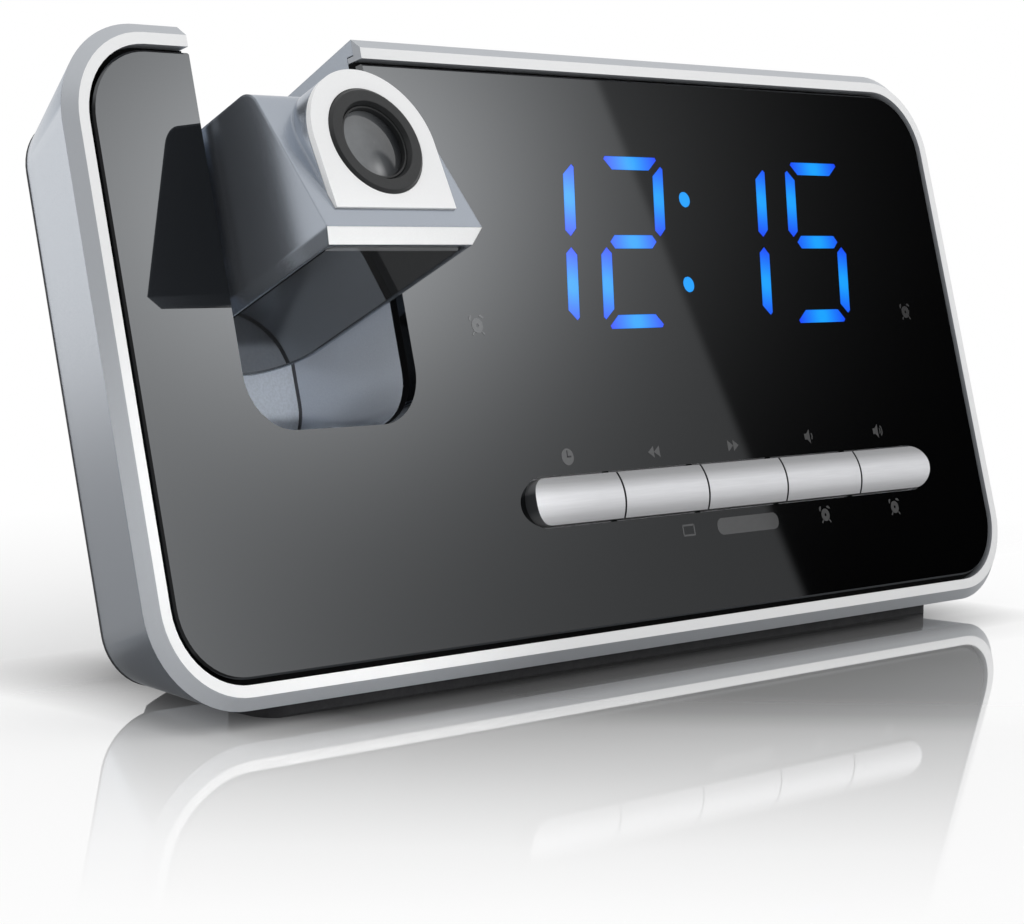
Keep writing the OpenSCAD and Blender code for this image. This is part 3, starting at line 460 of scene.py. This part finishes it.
def glowing_guide(name, core, rim, strength):
    """Lit light guide behind the gloss: brightest over the lamp in the middle of each bar, deeper towards its
    ends. The tone follows the distance from the nearest lamp."""
    paint = Paint(name, (0.004, 0.005, 0.008), 0.03)
    paint.set("IOR", 2.0)
    nearest = None
    for x, v in LAMP_SPOTS:
        node = paint.tree.nodes.new("ShaderNodeVectorMath")
        node.operation = "DISTANCE"
        paint.link(paint.place, node.inputs[0])
        node.inputs[1].default_value = on_face(x, v, LAMP_DEPTH).tolist()
        away = node.outputs["Value"]
        nearest = away if nearest is None else paint.calc("MINIMUM", nearest, away)
    reach = paint.span(nearest, 0.0, 1.0, 0.0, BAR_FADE)
    middle = tuple(0.45 * a + 0.55 * b for a, b in zip(core, rim))
    tone = paint.shades(reach, [(0.12, core), (0.5, middle), (0.9, rim)])
    paint.link(tone, paint.shader.inputs["Emission Color"])
    paint.set("Emission Strength", strength)
    return paint


def lens_with_painted_reflection(name, centre, radius):
    """Coated glass with a painted reflection: its tone goes from light at its left edge to dark at its right
    one.
    """
    paint = Paint(name, (0.1, 0.1, 0.1), 0.05)
    paint.set("Coat Weight", 0.5)
    across = paint.along(paint.place, (1.0, 0.0, 0.0))
    side = paint.span(across, 0.0, 1.0, (centre - radius) * MM, (centre + radius) * MM)
    # Painted reflection: light on the left of the glass, dark on its right
    painted_reflection_tones = [(0.1, (0.2, 0.21, 0.22)), (0.5, (0.09, 0.095, 0.1)), (0.85, (0.015, 0.016, 0.018))]
    paint.speckle(paint.shades(side, painted_reflection_tones), 700.0, 0.1)
    return paint


def circuit_board(name, mask, trace):
    """Solder mask with a lighter pattern of traces from a brick grid."""
    paint = Paint(name, mask, 0.35)
    brick = paint.tree.nodes.new("ShaderNodeTexBrick")
    brick.inputs["Scale"].default_value = 260.0
    brick.inputs["Mortar Size"].default_value = 0.06
    brick.inputs["Color1"].default_value = (*mask, 1.0)
    brick.inputs["Color2"].default_value = (*lighter(mask, 1.3), 1.0)
    brick.inputs["Mortar"].default_value = (*trace, 1.0)
    paint.link(paint.place, brick.inputs["Vector"])
    paint.link(brick.outputs["Color"], paint.shader.inputs["Base Color"])
    paint.grain(brick.outputs["Fac"], 0.00002)
    return paint


def metal(name, color, roughness, stretch):
    """Turned or drawn metal: fine lines along one way."""
    paint = Paint(name, color, roughness, 1.0)
    lines = paint.noise(1500.0, 2.0, stretch)
    paint.link(paint.span(lines, roughness - 0.06, roughness + 0.06), paint.shader.inputs["Roughness"])
    paint.grain(lines, 0.000003, 0.0001)
    return paint


def dress(names, paint):
    """Gives CAD nodes a material, smooth across shallow edges."""
    for name in names:
        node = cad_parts[name]
        node.data.materials.clear()
        node.data.materials.append(paint.material)
        node.data.polygons.foreach_set("use_smooth", np.ones(len(node.data.polygons), bool))
        node.data.polygons.foreach_set("material_index", np.zeros(len(node.data.polygons), np.int32))
        weld = node.modifiers.new("Join seams", "WELD")
        weld.merge_threshold = 0.000002
        split = node.modifiers.new("Sharp edges", "EDGE_SPLIT")
        split.split_angle = math.radians(24)


# ---- settings ----

def color_prop(name, description, default):
    """A colour setting."""
    return FloatVectorProperty(name=name, description=description, default=default, subtype="COLOR",
                               min=0.0, max=1.0)


class ClockFinish(bpy.types.PropertyGroup):
    """Colours of the outer pieces"""
    silver: color_prop("Silver", "Paint of the housing and the head", (0.46, 0.50, 0.56))
    edge: color_prop("Bezel edge", "Paint of the bezel's sloping edges", (0.45, 0.47, 0.50))
    white: color_prop("White", "Bezel and lens surround", (0.83, 0.835, 0.84))
    panel: color_prop("Panel", "Body colour of the glossy panels", (0.0008, 0.0008, 0.0009))
    # The keys' colour is the brightest tone of their painted shading; the crown's painted highlight and shade
    # scale it
    keys: color_prop("Keys", "Paint of the keys at their crown", (0.82, 0.825, 0.85))
    cover: color_prop("Rear cover", "Moulded rear cover and battery door", (0.045, 0.047, 0.052))
    rubber: color_prop("Rubber", "Feet", (0.02, 0.02, 0.022))
    ring: color_prop("Focus ring", "Focus ring and light tube", (0.016, 0.017, 0.018))


class ClockGlow(bpy.types.PropertyGroup):
    """Lit digits"""
    core: color_prop("Core", "Brightest blue of the bars", (0.006, 0.36, 1.0))
    rim: color_prop("Rim", "Deeper blue of the bars", (0.006, 0.06, 0.95))
    strength: FloatProperty(name="Strength", description="Light given off by the digits", default=1.0,
                            min=0.0, max=10.0)


class ClockPrint(bpy.types.PropertyGroup):
    """Printed signs on the panel"""
    ink: color_prop("Ink", "Grey of the signs", (0.085, 0.085, 0.086))
    faint: color_prop("Faint ink", "Grey of the alarm signs beside the digits", (0.05, 0.05, 0.051))
    thickness: FloatProperty(name="Thickness", description="Thickness of the ink in millimetres",
                             default=0.03, min=0.01, max=0.06)
    sign_v: FloatProperty(name="Sign height", description="Height of the signs over the keys, in millimetres",
                          default=-17.1, min=-20.0, max=-14.0)
    low_v: FloatProperty(name="Lower sign height", default=-30.0, min=-34.0, max=-28.0,
                         description="Height of the signs under the keys, in millimetres")


class ClockStage(bpy.types.PropertyGroup):
    """Floor, light and camera"""
    floor: color_prop("Floor", "Pale floor", (0.95, 0.95, 0.95))
    lens: FloatProperty(name="Lens", description="Focal length in millimetres", default=94.75,
                        min=20.0, max=300.0)
    fill: FloatProperty(name="Fill", description="Strength of the light from all round", default=0.8,
                        min=0.0, max=3.0)


# ---- operators ----

class CLOCK_OT_casing(bpy.types.Operator):
    """Paint the casing, panels, keys, feet and rear cover"""
    bl_idname = "clock.casing"
    bl_label = "Casing"

    def execute(self, context):
        finish = context.scene.clock_finish
        silver, white, cover = tuple(finish.silver), tuple(finish.white), tuple(finish.cover)
        # Painted highlight and shade of the keys, by the rise of their surface
        key_painted_shading = [(rise, lighter(tuple(finish.keys), tone)) for rise, tone in KEY_PAINTED_SHADING]
        dress(["main_housing"], housing_paint("satin_silver", silver))
        dress(["head_shell"], head_paint("head_silver", silver, white))
        dress(["bezel"], white_paint("bezel_paint", white, tuple(finish.edge)))
        dress(["lens_surround"], white_paint("white_surround", white))
        dress(["front_panel"], gloss_panel("black_acrylic", tuple(finish.panel)))
        # The head plate's lighter grey is a painted highlight along its outer edge
        dress(["head_plate"], head_mirror("head_acrylic", (0.02, 0.0205, 0.021), (0.16, 0.165, 0.17)))
        carrier = moulded_plastic("black_carrier", (0.003, 0.003, 0.0032), 0.7, 3000.0, 0.000004)
        carrier.set("Specular IOR Level", 0.1)
        dress(["front_carrier", "head_carrier"], carrier)
        dress(KEY_NODES, key_paint_with_painted_shading("key_paint_with_painted_shading", key_painted_shading))
        # The notch's rear wall is silver, painted 1.2 times lighter than the housing as painted light for the
        # deep, shaded notch
        dress(["rear_cover"], cover_plastic("dark_cover", cover, lighter(silver, 1.2)))
        dress(["battery_door"], moulded_plastic("dark_texture", cover, 0.55, 2600.0, 0.00003, 0.0003))
        rubber = moulded_plastic("foot_rubber", tuple(finish.rubber), 0.75, 1800.0, 0.00004)
        dress(["front_foot", "rear_feet"], rubber)
        return {"FINISHED"}


class CLOCK_OT_display(bpy.types.Operator):
    """Light the digits"""
    bl_idname = "clock.display"
    bl_label = "Display"

    def execute(self, context):
        glow = context.scene.clock_glow
        guide = glowing_guide("lit_blue", tuple(glow.core), tuple(glow.rim), glow.strength)
        dress(["display_segments"], guide)
        return {"FINISHED"}


class CLOCK_OT_projector(bpy.types.Operator):
    """Finish the focus ring, lenses, light tube, lamp and tilt pins"""
    bl_idname = "clock.projector"
    bl_label = "Projector"

    def execute(self, context):
        black = moulded_plastic("ring_black", tuple(context.scene.clock_finish.ring), 0.38, 2600.0, 0.000004)
        dress(["focus_ring", "lens_barrel", "optic_tube"], black)
        # The lens glass carries a painted reflection, light at the left and dark at the right
        dress(["projector_lens", "condenser_lens"], lens_with_painted_reflection("lens_with_painted_reflection", HEAD_X, LENS_RADIUS))
        cell = Paint("smoked_cell", (0.10, 0.12, 0.13), 0.1)
        cell.tint(cell.noise(400.0), (0.08, 0.1, 0.11), (0.13, 0.15, 0.16))
        dress(["lcd_cell"], cell)
        lamp = Paint("lamp_phosphor", (0.8, 0.72, 0.42), 0.3)
        lamp.tint(lamp.noise(900.0), (0.76, 0.68, 0.38), (0.84, 0.77, 0.48))
        dress(["projector_led"], lamp)
        steel = metal("ground_steel", (0.6, 0.61, 0.63), 0.25, (0.1, 1.0, 1.0))
        dress(["left_pivot_pin", "right_pivot_pin"], steel)
        dress(["pivot_bushes"], moulded_plastic("bush_plastic", (0.70, 0.67, 0.58), 0.4, 1500.0, 0.00001))
        return {"FINISHED"}


class CLOCK_OT_inside(bpy.types.Operator):
    """Finish boards, switches, speaker, cells, contacts, inlet and screws"""
    bl_idname = "clock.inside"
    bl_label = "Inside"

    def execute(self, context):
        boards = ["display_board", "key_board", "main_board", "lamp_board"]
        dress(boards, circuit_board("green_board", (0.02, 0.12, 0.06), (0.10, 0.26, 0.14)))
        dress(["tact_switches"], moulded_plastic("switch_body", (0.05, 0.05, 0.055), 0.4, 2500.0, 0.00001))
        dress(["led_module"], moulded_plastic("module_white", (0.78, 0.78, 0.75), 0.5, 1800.0, 0.00001))
        dress(["speaker"], moulded_plastic("speaker_cone", (0.018, 0.018, 0.02), 0.65, 900.0, 0.00005))
        dress(["power_jack"], moulded_plastic("inlet_plastic", (0.015, 0.015, 0.017), 0.4, 2500.0, 0.00001))
        sleeve = satin_paint("cell_sleeve", (0.55, 0.36, 0.12), 0.3, 1200.0, metallic=0.6)
        dress(["backup_cells"], sleeve)
        dress(["battery_contacts"], metal("contact_nickel", (0.72, 0.73, 0.75), 0.2, (1.0, 1.0, 0.1)))
        dress(["rear_screws", "board_screws"], metal("screw_zinc", (0.45, 0.46, 0.48), 0.35, (1.0, 1.0, 1.0)))
        return {"FINISHED"}


def alarm_sign(x, v, size, ink):
    """Alarm clock sign: a dial with its middle left clear, two bells and two legs."""
    shapes = [hoop((x, v), size * 0.2, size * 0.84, ink)]
    for side in (-1, 1):
        shapes.append(hoop((x + side * size * 0.72, v + size * 0.78), size * 0.12, size * 0.4, ink,
                           start=45 - side * 45, sweep=135, steps=12))
        leg = bar(x + side * size * 0.6, v - size * 0.66, x + side * size * 0.92, v - size * 1.05, size * 0.2)
        shapes.append(plate(leg, ink))
    return shapes


def speaker_sign(x, v, size, ink, waves):
    """Loudspeaker sign: a box with a flared front, and arcs for the sound."""
    horn = np.array([[-1.0, -0.4], [-0.5, -0.4], [0.1, -0.95], [0.1, 0.95], [-0.5, 0.4], [-1.0, 0.4]]) * size
    shapes = [plate(horn + [x, v], ink)]
    for i in range(waves):
        radius = size * (0.5 + 0.4 * i)
        shapes.append(hoop((x + size * 0.1, v), radius - size * 0.09, radius + size * 0.09, ink,
                           start=-48, sweep=96, steps=12))
    return shapes


def seek_sign(x, v, size, ink, way):
    """Two triangles that point one way: right for 1, left for -1."""
    arrow = np.array([[0.0, -0.7], [1.0, 0.0], [0.0, 0.7]]) * size * [way, 1]
    return [plate(arrow + [x + shift * size, v], ink) for shift in ((-1.0, 0.0) if way > 0 else (0.0, 1.0))]


class CLOCK_OT_signs(bpy.types.Operator):
    """Print the small signs round the keys and the digits"""
    bl_idname = "clock.signs"
    bl_label = "Signs"

    def execute(self, context):
        ink = context.scene.clock_print
        thick, high, low = ink.thickness, ink.sign_v, ink.low_v
        x = CLOCK_SIGN_X
        hands = [plate(bar(x, high + 0.1, x, high + 1.2, 0.26), thick + 0.01),
                 plate(bar(x - 0.13, high + 0.2, x + 0.8, high + 0.2, 0.26), thick + 0.01)]
        left, right = SLEEP_SIGN_X
        signs = {
            "clock_sign": [plate(disc(x, high + 0.2, 1.3), thick)],
            "back_sign": seek_sign(SEEK_SIGNS_X[0], high - 0.1, 1.35, thick, -1),
            "forward_sign": seek_sign(SEEK_SIGNS_X[1], high - 0.1, 1.35, thick, 1),
            "quieter_sign": speaker_sign(SOUND_SIGNS_X[0], high + 0.4, 1.25, thick, 1),
            "louder_sign": speaker_sign(SOUND_SIGNS_X[1], high + 0.4, 1.25, thick, 2),
            "alarm_sign_1": alarm_sign(ALARM_SIGNS_X[0], low, 1.25, thick),
            "alarm_sign_2": alarm_sign(ALARM_SIGNS_X[1], low, 1.25, thick),
            "display_off_field": [plate(round_outline(OFF_FIELD_X, low, 7.6, 1.35, 1.3), thick)],
            "sleep_sign": [plate(bar(left, low + s, right, low + s, 0.28), thick) for s in (-0.8, 0.8)]
            + [plate(bar(side, low - 0.9, side, low + 0.9, 0.28), thick) for side in SLEEP_SIGN_X],
        }
        ink_paint = gloss_panel("grey_ink", tuple(ink.ink), 0.05)
        faint_paint = gloss_panel("faint_ink", tuple(ink.faint), 0.05)
        dark_paint = gloss_panel("dark_ink", (0.003, 0.003, 0.0035), 0.05)
        faint = {"lit_alarm_1": alarm_sign(*DIGIT_ALARMS[0], 1.35, thick),
                 "lit_alarm_2": alarm_sign(*DIGIT_ALARMS[1], 1.25, thick)}
        for prints, paint in ((signs, ink_paint), (faint, faint_paint), ({"clock_hands": hands}, dark_paint)):
            for name, shapes in prints.items():
                add_mesh(name, *join(shapes)).data.materials.append(paint.material)
        return {"FINISHED"}


class CLOCK_OT_stage(bpy.types.Operator):
    """Set the floor, the studio light and the camera"""
    bl_idname = "clock.stage"
    bl_label = "Stage"

    def execute(self, context):
        settings = context.scene.clock_stage
        self.floor(settings)
        self.surround(context.scene, settings)
        self.lamps()
        self.camera(context.scene, settings)
        context.scene.view_settings.view_transform = "Standard"
        return {"FINISHED"}

    def floor(self, settings):
        """Glossy pale floor whose mirror fades out in front of the clock and behind it. Under the clock and
        close in front of it lies a painted contact shadow, and far from the clock it is plain white."""
        half = FLOOR_HALF
        corners = np.array([[-half, -half, 0], [half, -half, 0], [half, half, 0], [-half, half, 0]])
        floor = add_mesh("floor", corners, [[0, 1, 2, 3]], body=None)
        floor.visible_glossy = False
        paint = Paint("pale_floor", tuple(settings.floor), 1.0)
        paint.set("Specular IOR Level", 0.0)
        nodes = paint.tree.nodes
        white = nodes.new("ShaderNodeEmission")
        white.inputs["Color"].default_value = (1.0, 1.0, 1.0, 1.0)
        mirror = nodes.new("ShaderNodeBsdfGlossy")
        mirror.inputs["Color"].default_value = (1.0, 1.0, 1.0, 1.0)
        mirror.inputs["Roughness"].default_value = 0.03
        reach = nodes.new("ShaderNodeVectorMath")
        reach.operation = "LENGTH"
        paint.link(paint.place, reach.inputs[0])
        far = paint.span(reach.outputs["Value"], 0.15, 1.0, *PAPER_END)
        forward = paint.span(paint.along(paint.place, (-1.0, -1.0, 0.0)), 0.0, 1.0, 0.0, MIRROR_REACH)
        back = paint.along(paint.place, (0.0, 1.0, 0.0))
        aside = paint.calc("ABSOLUTE", paint.along(paint.place, (1.0, 0.0, 0.0)))
        under = paint.span(back, 1.0, 0.0, *REAR_END)
        shine = paint.shades(forward, [(place, (share,) * 3) for place, share in MIRROR_SHARE])
        shine = paint.calc("MULTIPLY", shine, paint.span(reach.outputs["Value"], 1.0, 0.0, *MIRROR_END))
        shine = paint.calc("MULTIPLY", shine, under)
        close = paint.span(back, 0.0, 1.0, *CONTACT_FRONT)
        shade = paint.shades(close, [(place, (share,) * 3) for place, share in CONTACT_SHADE])
        shade = paint.calc("MULTIPLY", shade, under)
        shade = paint.calc("MULTIPLY", shade, paint.span(aside, 1.0, 0.0, *CONTACT_SIDE))

        def mixed(share, first, second):
            mix = nodes.new("ShaderNodeMixShader")
            paint.link(share, mix.inputs["Fac"])
            paint.link(first, mix.inputs[1])
            paint.link(second, mix.inputs[2])
            return mix.outputs["Shader"]

        # ink is the near-black of the painted contact shadow, mixed into the floor by shade
        ink = nodes.new("ShaderNodeBsdfDiffuse")
        ink.inputs["Color"].default_value = (0.02, 0.02, 0.021, 1.0)
        paper = mixed(far, paint.shader.outputs["BSDF"], white.outputs["Emission"])
        lit = mixed(shine, paper, mirror.outputs["BSDF"])
        paint.link(mixed(shade, lit, ink.outputs["BSDF"]), nodes["Material Output"].inputs["Surface"])
        floor.data.materials.append(paint.material)

    def surround(self, scene, settings):
        """White room, whose cards only mirrors see. The panel sees a bright card with a straight edge, soft
        lamps and the dark beyond the edge."""
        world = bpy.data.worlds.new("studio")
        scene.world = world
        world.use_nodes = True
        tree = world.node_tree
        tree.nodes.clear()
        nodes, link = tree.nodes, tree.links.new

        def put(socket, value):
            if isinstance(value, (int, float)):
                socket.default_value = value
            else:
                link(value, socket)

        def sum_of(kind, *values):
            node = nodes.new("ShaderNodeMath")
            node.operation = kind
            for socket, value in zip(node.inputs, values):
                put(socket, value)
            return node.outputs["Value"]

        way = nodes.new("ShaderNodeTexCoord").outputs["Generated"]

        def towards(direction):
            node = nodes.new("ShaderNodeVectorMath")
            node.operation = "DOT_PRODUCT"
            link(way, node.inputs[0])
            node.inputs[1].default_value = Vector(direction).normalized()
            return node.outputs["Value"]

        def compass(azimuth, height):
            a, h = math.radians(azimuth), math.radians(height)
            return towards((math.cos(a) * math.cos(h), math.sin(a) * math.cos(h), math.sin(h)))

        def ramp(value, start, end, low, high, kind="SMOOTHSTEP"):
            node = nodes.new("ShaderNodeMapRange")
            node.interpolation_type = kind
            for name, number in (("From Min", start), ("From Max", end), ("To Min", low), ("To Max", high)):
                node.inputs[name].default_value = number
            link(value, node.inputs["Value"])
            return node.outputs["Result"]

        def soft_lamp(azimuth, height, power, narrow):
            """power * exp(narrow * (cos of the angle from the lamp - 1))"""
            near = sum_of("MULTIPLY_ADD", compass(azimuth, height), narrow, -narrow)
            return sum_of("MULTIPLY", sum_of("EXPONENT", near), power)

        def mixed(share, first, second):
            node = nodes.new("ShaderNodeMix")
            node.data_type = "FLOAT"
            put(node.inputs["Factor"], share)
            put(node.inputs["A"], first)
            put(node.inputs["B"], second)
            return node.outputs["Result"]

        def levels(value, stops):
            node = nodes.new("ShaderNodeValToRGB")
            while len(node.color_ramp.elements) < len(stops):
                node.color_ramp.elements.new(0.5)
            for element, (place, level) in zip(node.color_ramp.elements, stops):
                element.position = place
                element.color = (level, level, level, 1.0)
            link(ramp(value, -1.0, 1.0, 0.0, 1.0, "LINEAR"), node.inputs["Fac"])
            return node.outputs["Color"]

        wide = sum_of("MINIMUM", soft_lamp(*WIDE_LAMP), WIDE_MOST)
        card = sum_of("ADD", sum_of("ADD", soft_lamp(*CARD_LAMP), wide), CARD_LEVEL)
        beyond = sum_of("ADD", soft_lamp(*DARK_LAMP), DARK_LEVEL)
        edge = ramp(towards(CARD_EDGE), -0.0015, 0.0025, 0.0, 1.0)
        panel_view = mixed(edge, beyond, card)
        height = towards((0.0, 0.0, 1.0))
        rear = ramp(towards((0.0, 1.0, 0.0)), 0.45, 0.75, 0.0, 1.0)
        view = mixed(rear, levels(height, ROOM_LEVELS), levels(height, REAR_LEVELS))
        # A dark card high at the left rear, a bright one at the right rear, a dark one at the left front and
        # what the panel mirrors. Each fades in between two cosines of the angle from its middle.
        view = mixed(ramp(compass(118.0, 30.0), 0.86, 0.93, 0.0, 1.0), view, 0.1)
        view = mixed(ramp(compass(44.7, 9.0), 0.93, 0.962, 0.0, 1.0), view, 1.0)
        view = mixed(ramp(towards((-0.73, -0.68, 0.1)), 0.6, 0.85, 0.0, 1.0), view, 0.15)
        view = mixed(ramp(compass(-41.5, 18.0), 0.951, 0.974, 0.0, 1.0), view, panel_view)
        rays = nodes.new("ShaderNodeLightPath")
        plain = mixed(rays.outputs["Is Camera Ray"], settings.fill, 1.0)
        background = nodes.new("ShaderNodeBackground")
        background.inputs["Color"].default_value = (1.0, 1.0, 1.0, 1.0)
        link(mixed(rays.outputs["Is Glossy Ray"], plain, view), background.inputs["Strength"])
        output = nodes.new("ShaderNodeOutputWorld")
        link(background.outputs["Background"], output.inputs["Surface"])

    def lamps(self):
        """Soft boxes overhead, in front and at the left rear, and a narrow lamp into the notch. No mirror
        sees them."""
        # Name, place, aim, width and power
        boxes = [
            ("overhead", (0.05, 0.10, 0.75), (0.0, 0.02, 0.05), 0.6, 0.9),
            ("front", (-0.05, -0.75, 0.35), (0.0, 0.0, 0.05), 0.5, 0.8),
            ("left_rear", (-0.7, 0.45, 0.35), (-0.08, 0.02, 0.05), 0.4, 0.5),
        ]
        for name, place, aim, size, power in boxes:
            light = bpy.data.lights.new(name, "AREA")
            light.shape = "SQUARE"
            light.size = size
            light.energy = power
            self.aim_lamp(name, light, place, aim)
        narrow = bpy.data.lights.new("notch", "SPOT")
        narrow.energy = 31.0
        narrow.spot_size = math.radians(3.8)
        narrow.spot_blend = 0.6
        narrow.shadow_soft_size = 0.03
        self.aim_lamp("notch", narrow, (-0.33, -0.46, 0.05), (-0.045, 0.016, 0.031))

    def aim_lamp(self, name, light, place, aim):
        """Stands a light at a place and turns it to a point."""
        lamp = bpy.data.objects.new(name, light)
        lamp.visible_glossy = False
        lamp.location = place
        lamp.rotation_mode = "QUATERNION"
        lamp.rotation_quaternion = (Vector(aim) - Vector(place)).to_track_quat("-Z", "Y")
        bpy.context.scene.collection.objects.link(lamp)

    def camera(self, scene, settings):
        """Camera of the photograph: its place and the directions of its right side and its view."""
        data = bpy.data.cameras.new("camera")
        data.lens = settings.lens
        data.sensor_width = 36.0
        data.clip_start = 0.01
        camera = bpy.data.objects.new("camera", data)
        right = Vector((0.70469, -0.70939, 0.01327)).normalized()
        ahead = Vector((0.70727, 0.70084, -0.09273)).normalized()
        up = right.cross(ahead).normalized()
        turn = Matrix((right, up, -ahead)).transposed().to_4x4()
        place = Vector((-0.3065, -0.2834, 0.06865))
        camera.matrix_world = Matrix.Translation(place) @ turn
        scene.collection.objects.link(camera)
        scene.camera = camera


class CLOCK_PT_panel(bpy.types.Panel):
    """Sidebar panel with the clock's steps and settings"""
    bl_idname = "CLOCK_PT_panel"
    bl_label = "Projection Clock"
    bl_space_type = "VIEW_3D"
    bl_region_type = "UI"
    bl_category = "Clock"

    def draw(self, context):
        for step in STEPS:
            self.layout.operator(step.bl_idname)
        for group in (context.scene.clock_finish, context.scene.clock_glow, context.scene.clock_print,
                      context.scene.clock_stage):
            box = self.layout.box()
            for name in group.__annotations__:
                box.prop(group, name)


STEPS = [CLOCK_OT_casing, CLOCK_OT_display, CLOCK_OT_projector, CLOCK_OT_inside, CLOCK_OT_signs,
         CLOCK_OT_stage]
GROUPS = {"clock_finish": ClockFinish, "clock_glow": ClockGlow, "clock_print": ClockPrint,
          "clock_stage": ClockStage}


def register():
    for cls in [*GROUPS.values(), *STEPS, CLOCK_PT_panel]:
        bpy.utils.register_class(cls)
    for name, group in GROUPS.items():
        setattr(bpy.types.Scene, name, PointerProperty(type=group))


def unregister():
    for name in GROUPS:
        delattr(bpy.types.Scene, name)
    for cls in reversed([*GROUPS.values(), *STEPS, CLOCK_PT_panel]):
        bpy.utils.unregister_class(cls)


def main():
    register()
    for step in STEPS:
        group, name = step.bl_idname.split(".")
        getattr(getattr(bpy.ops, group), name)()


if __name__ == "__main__":
    main()
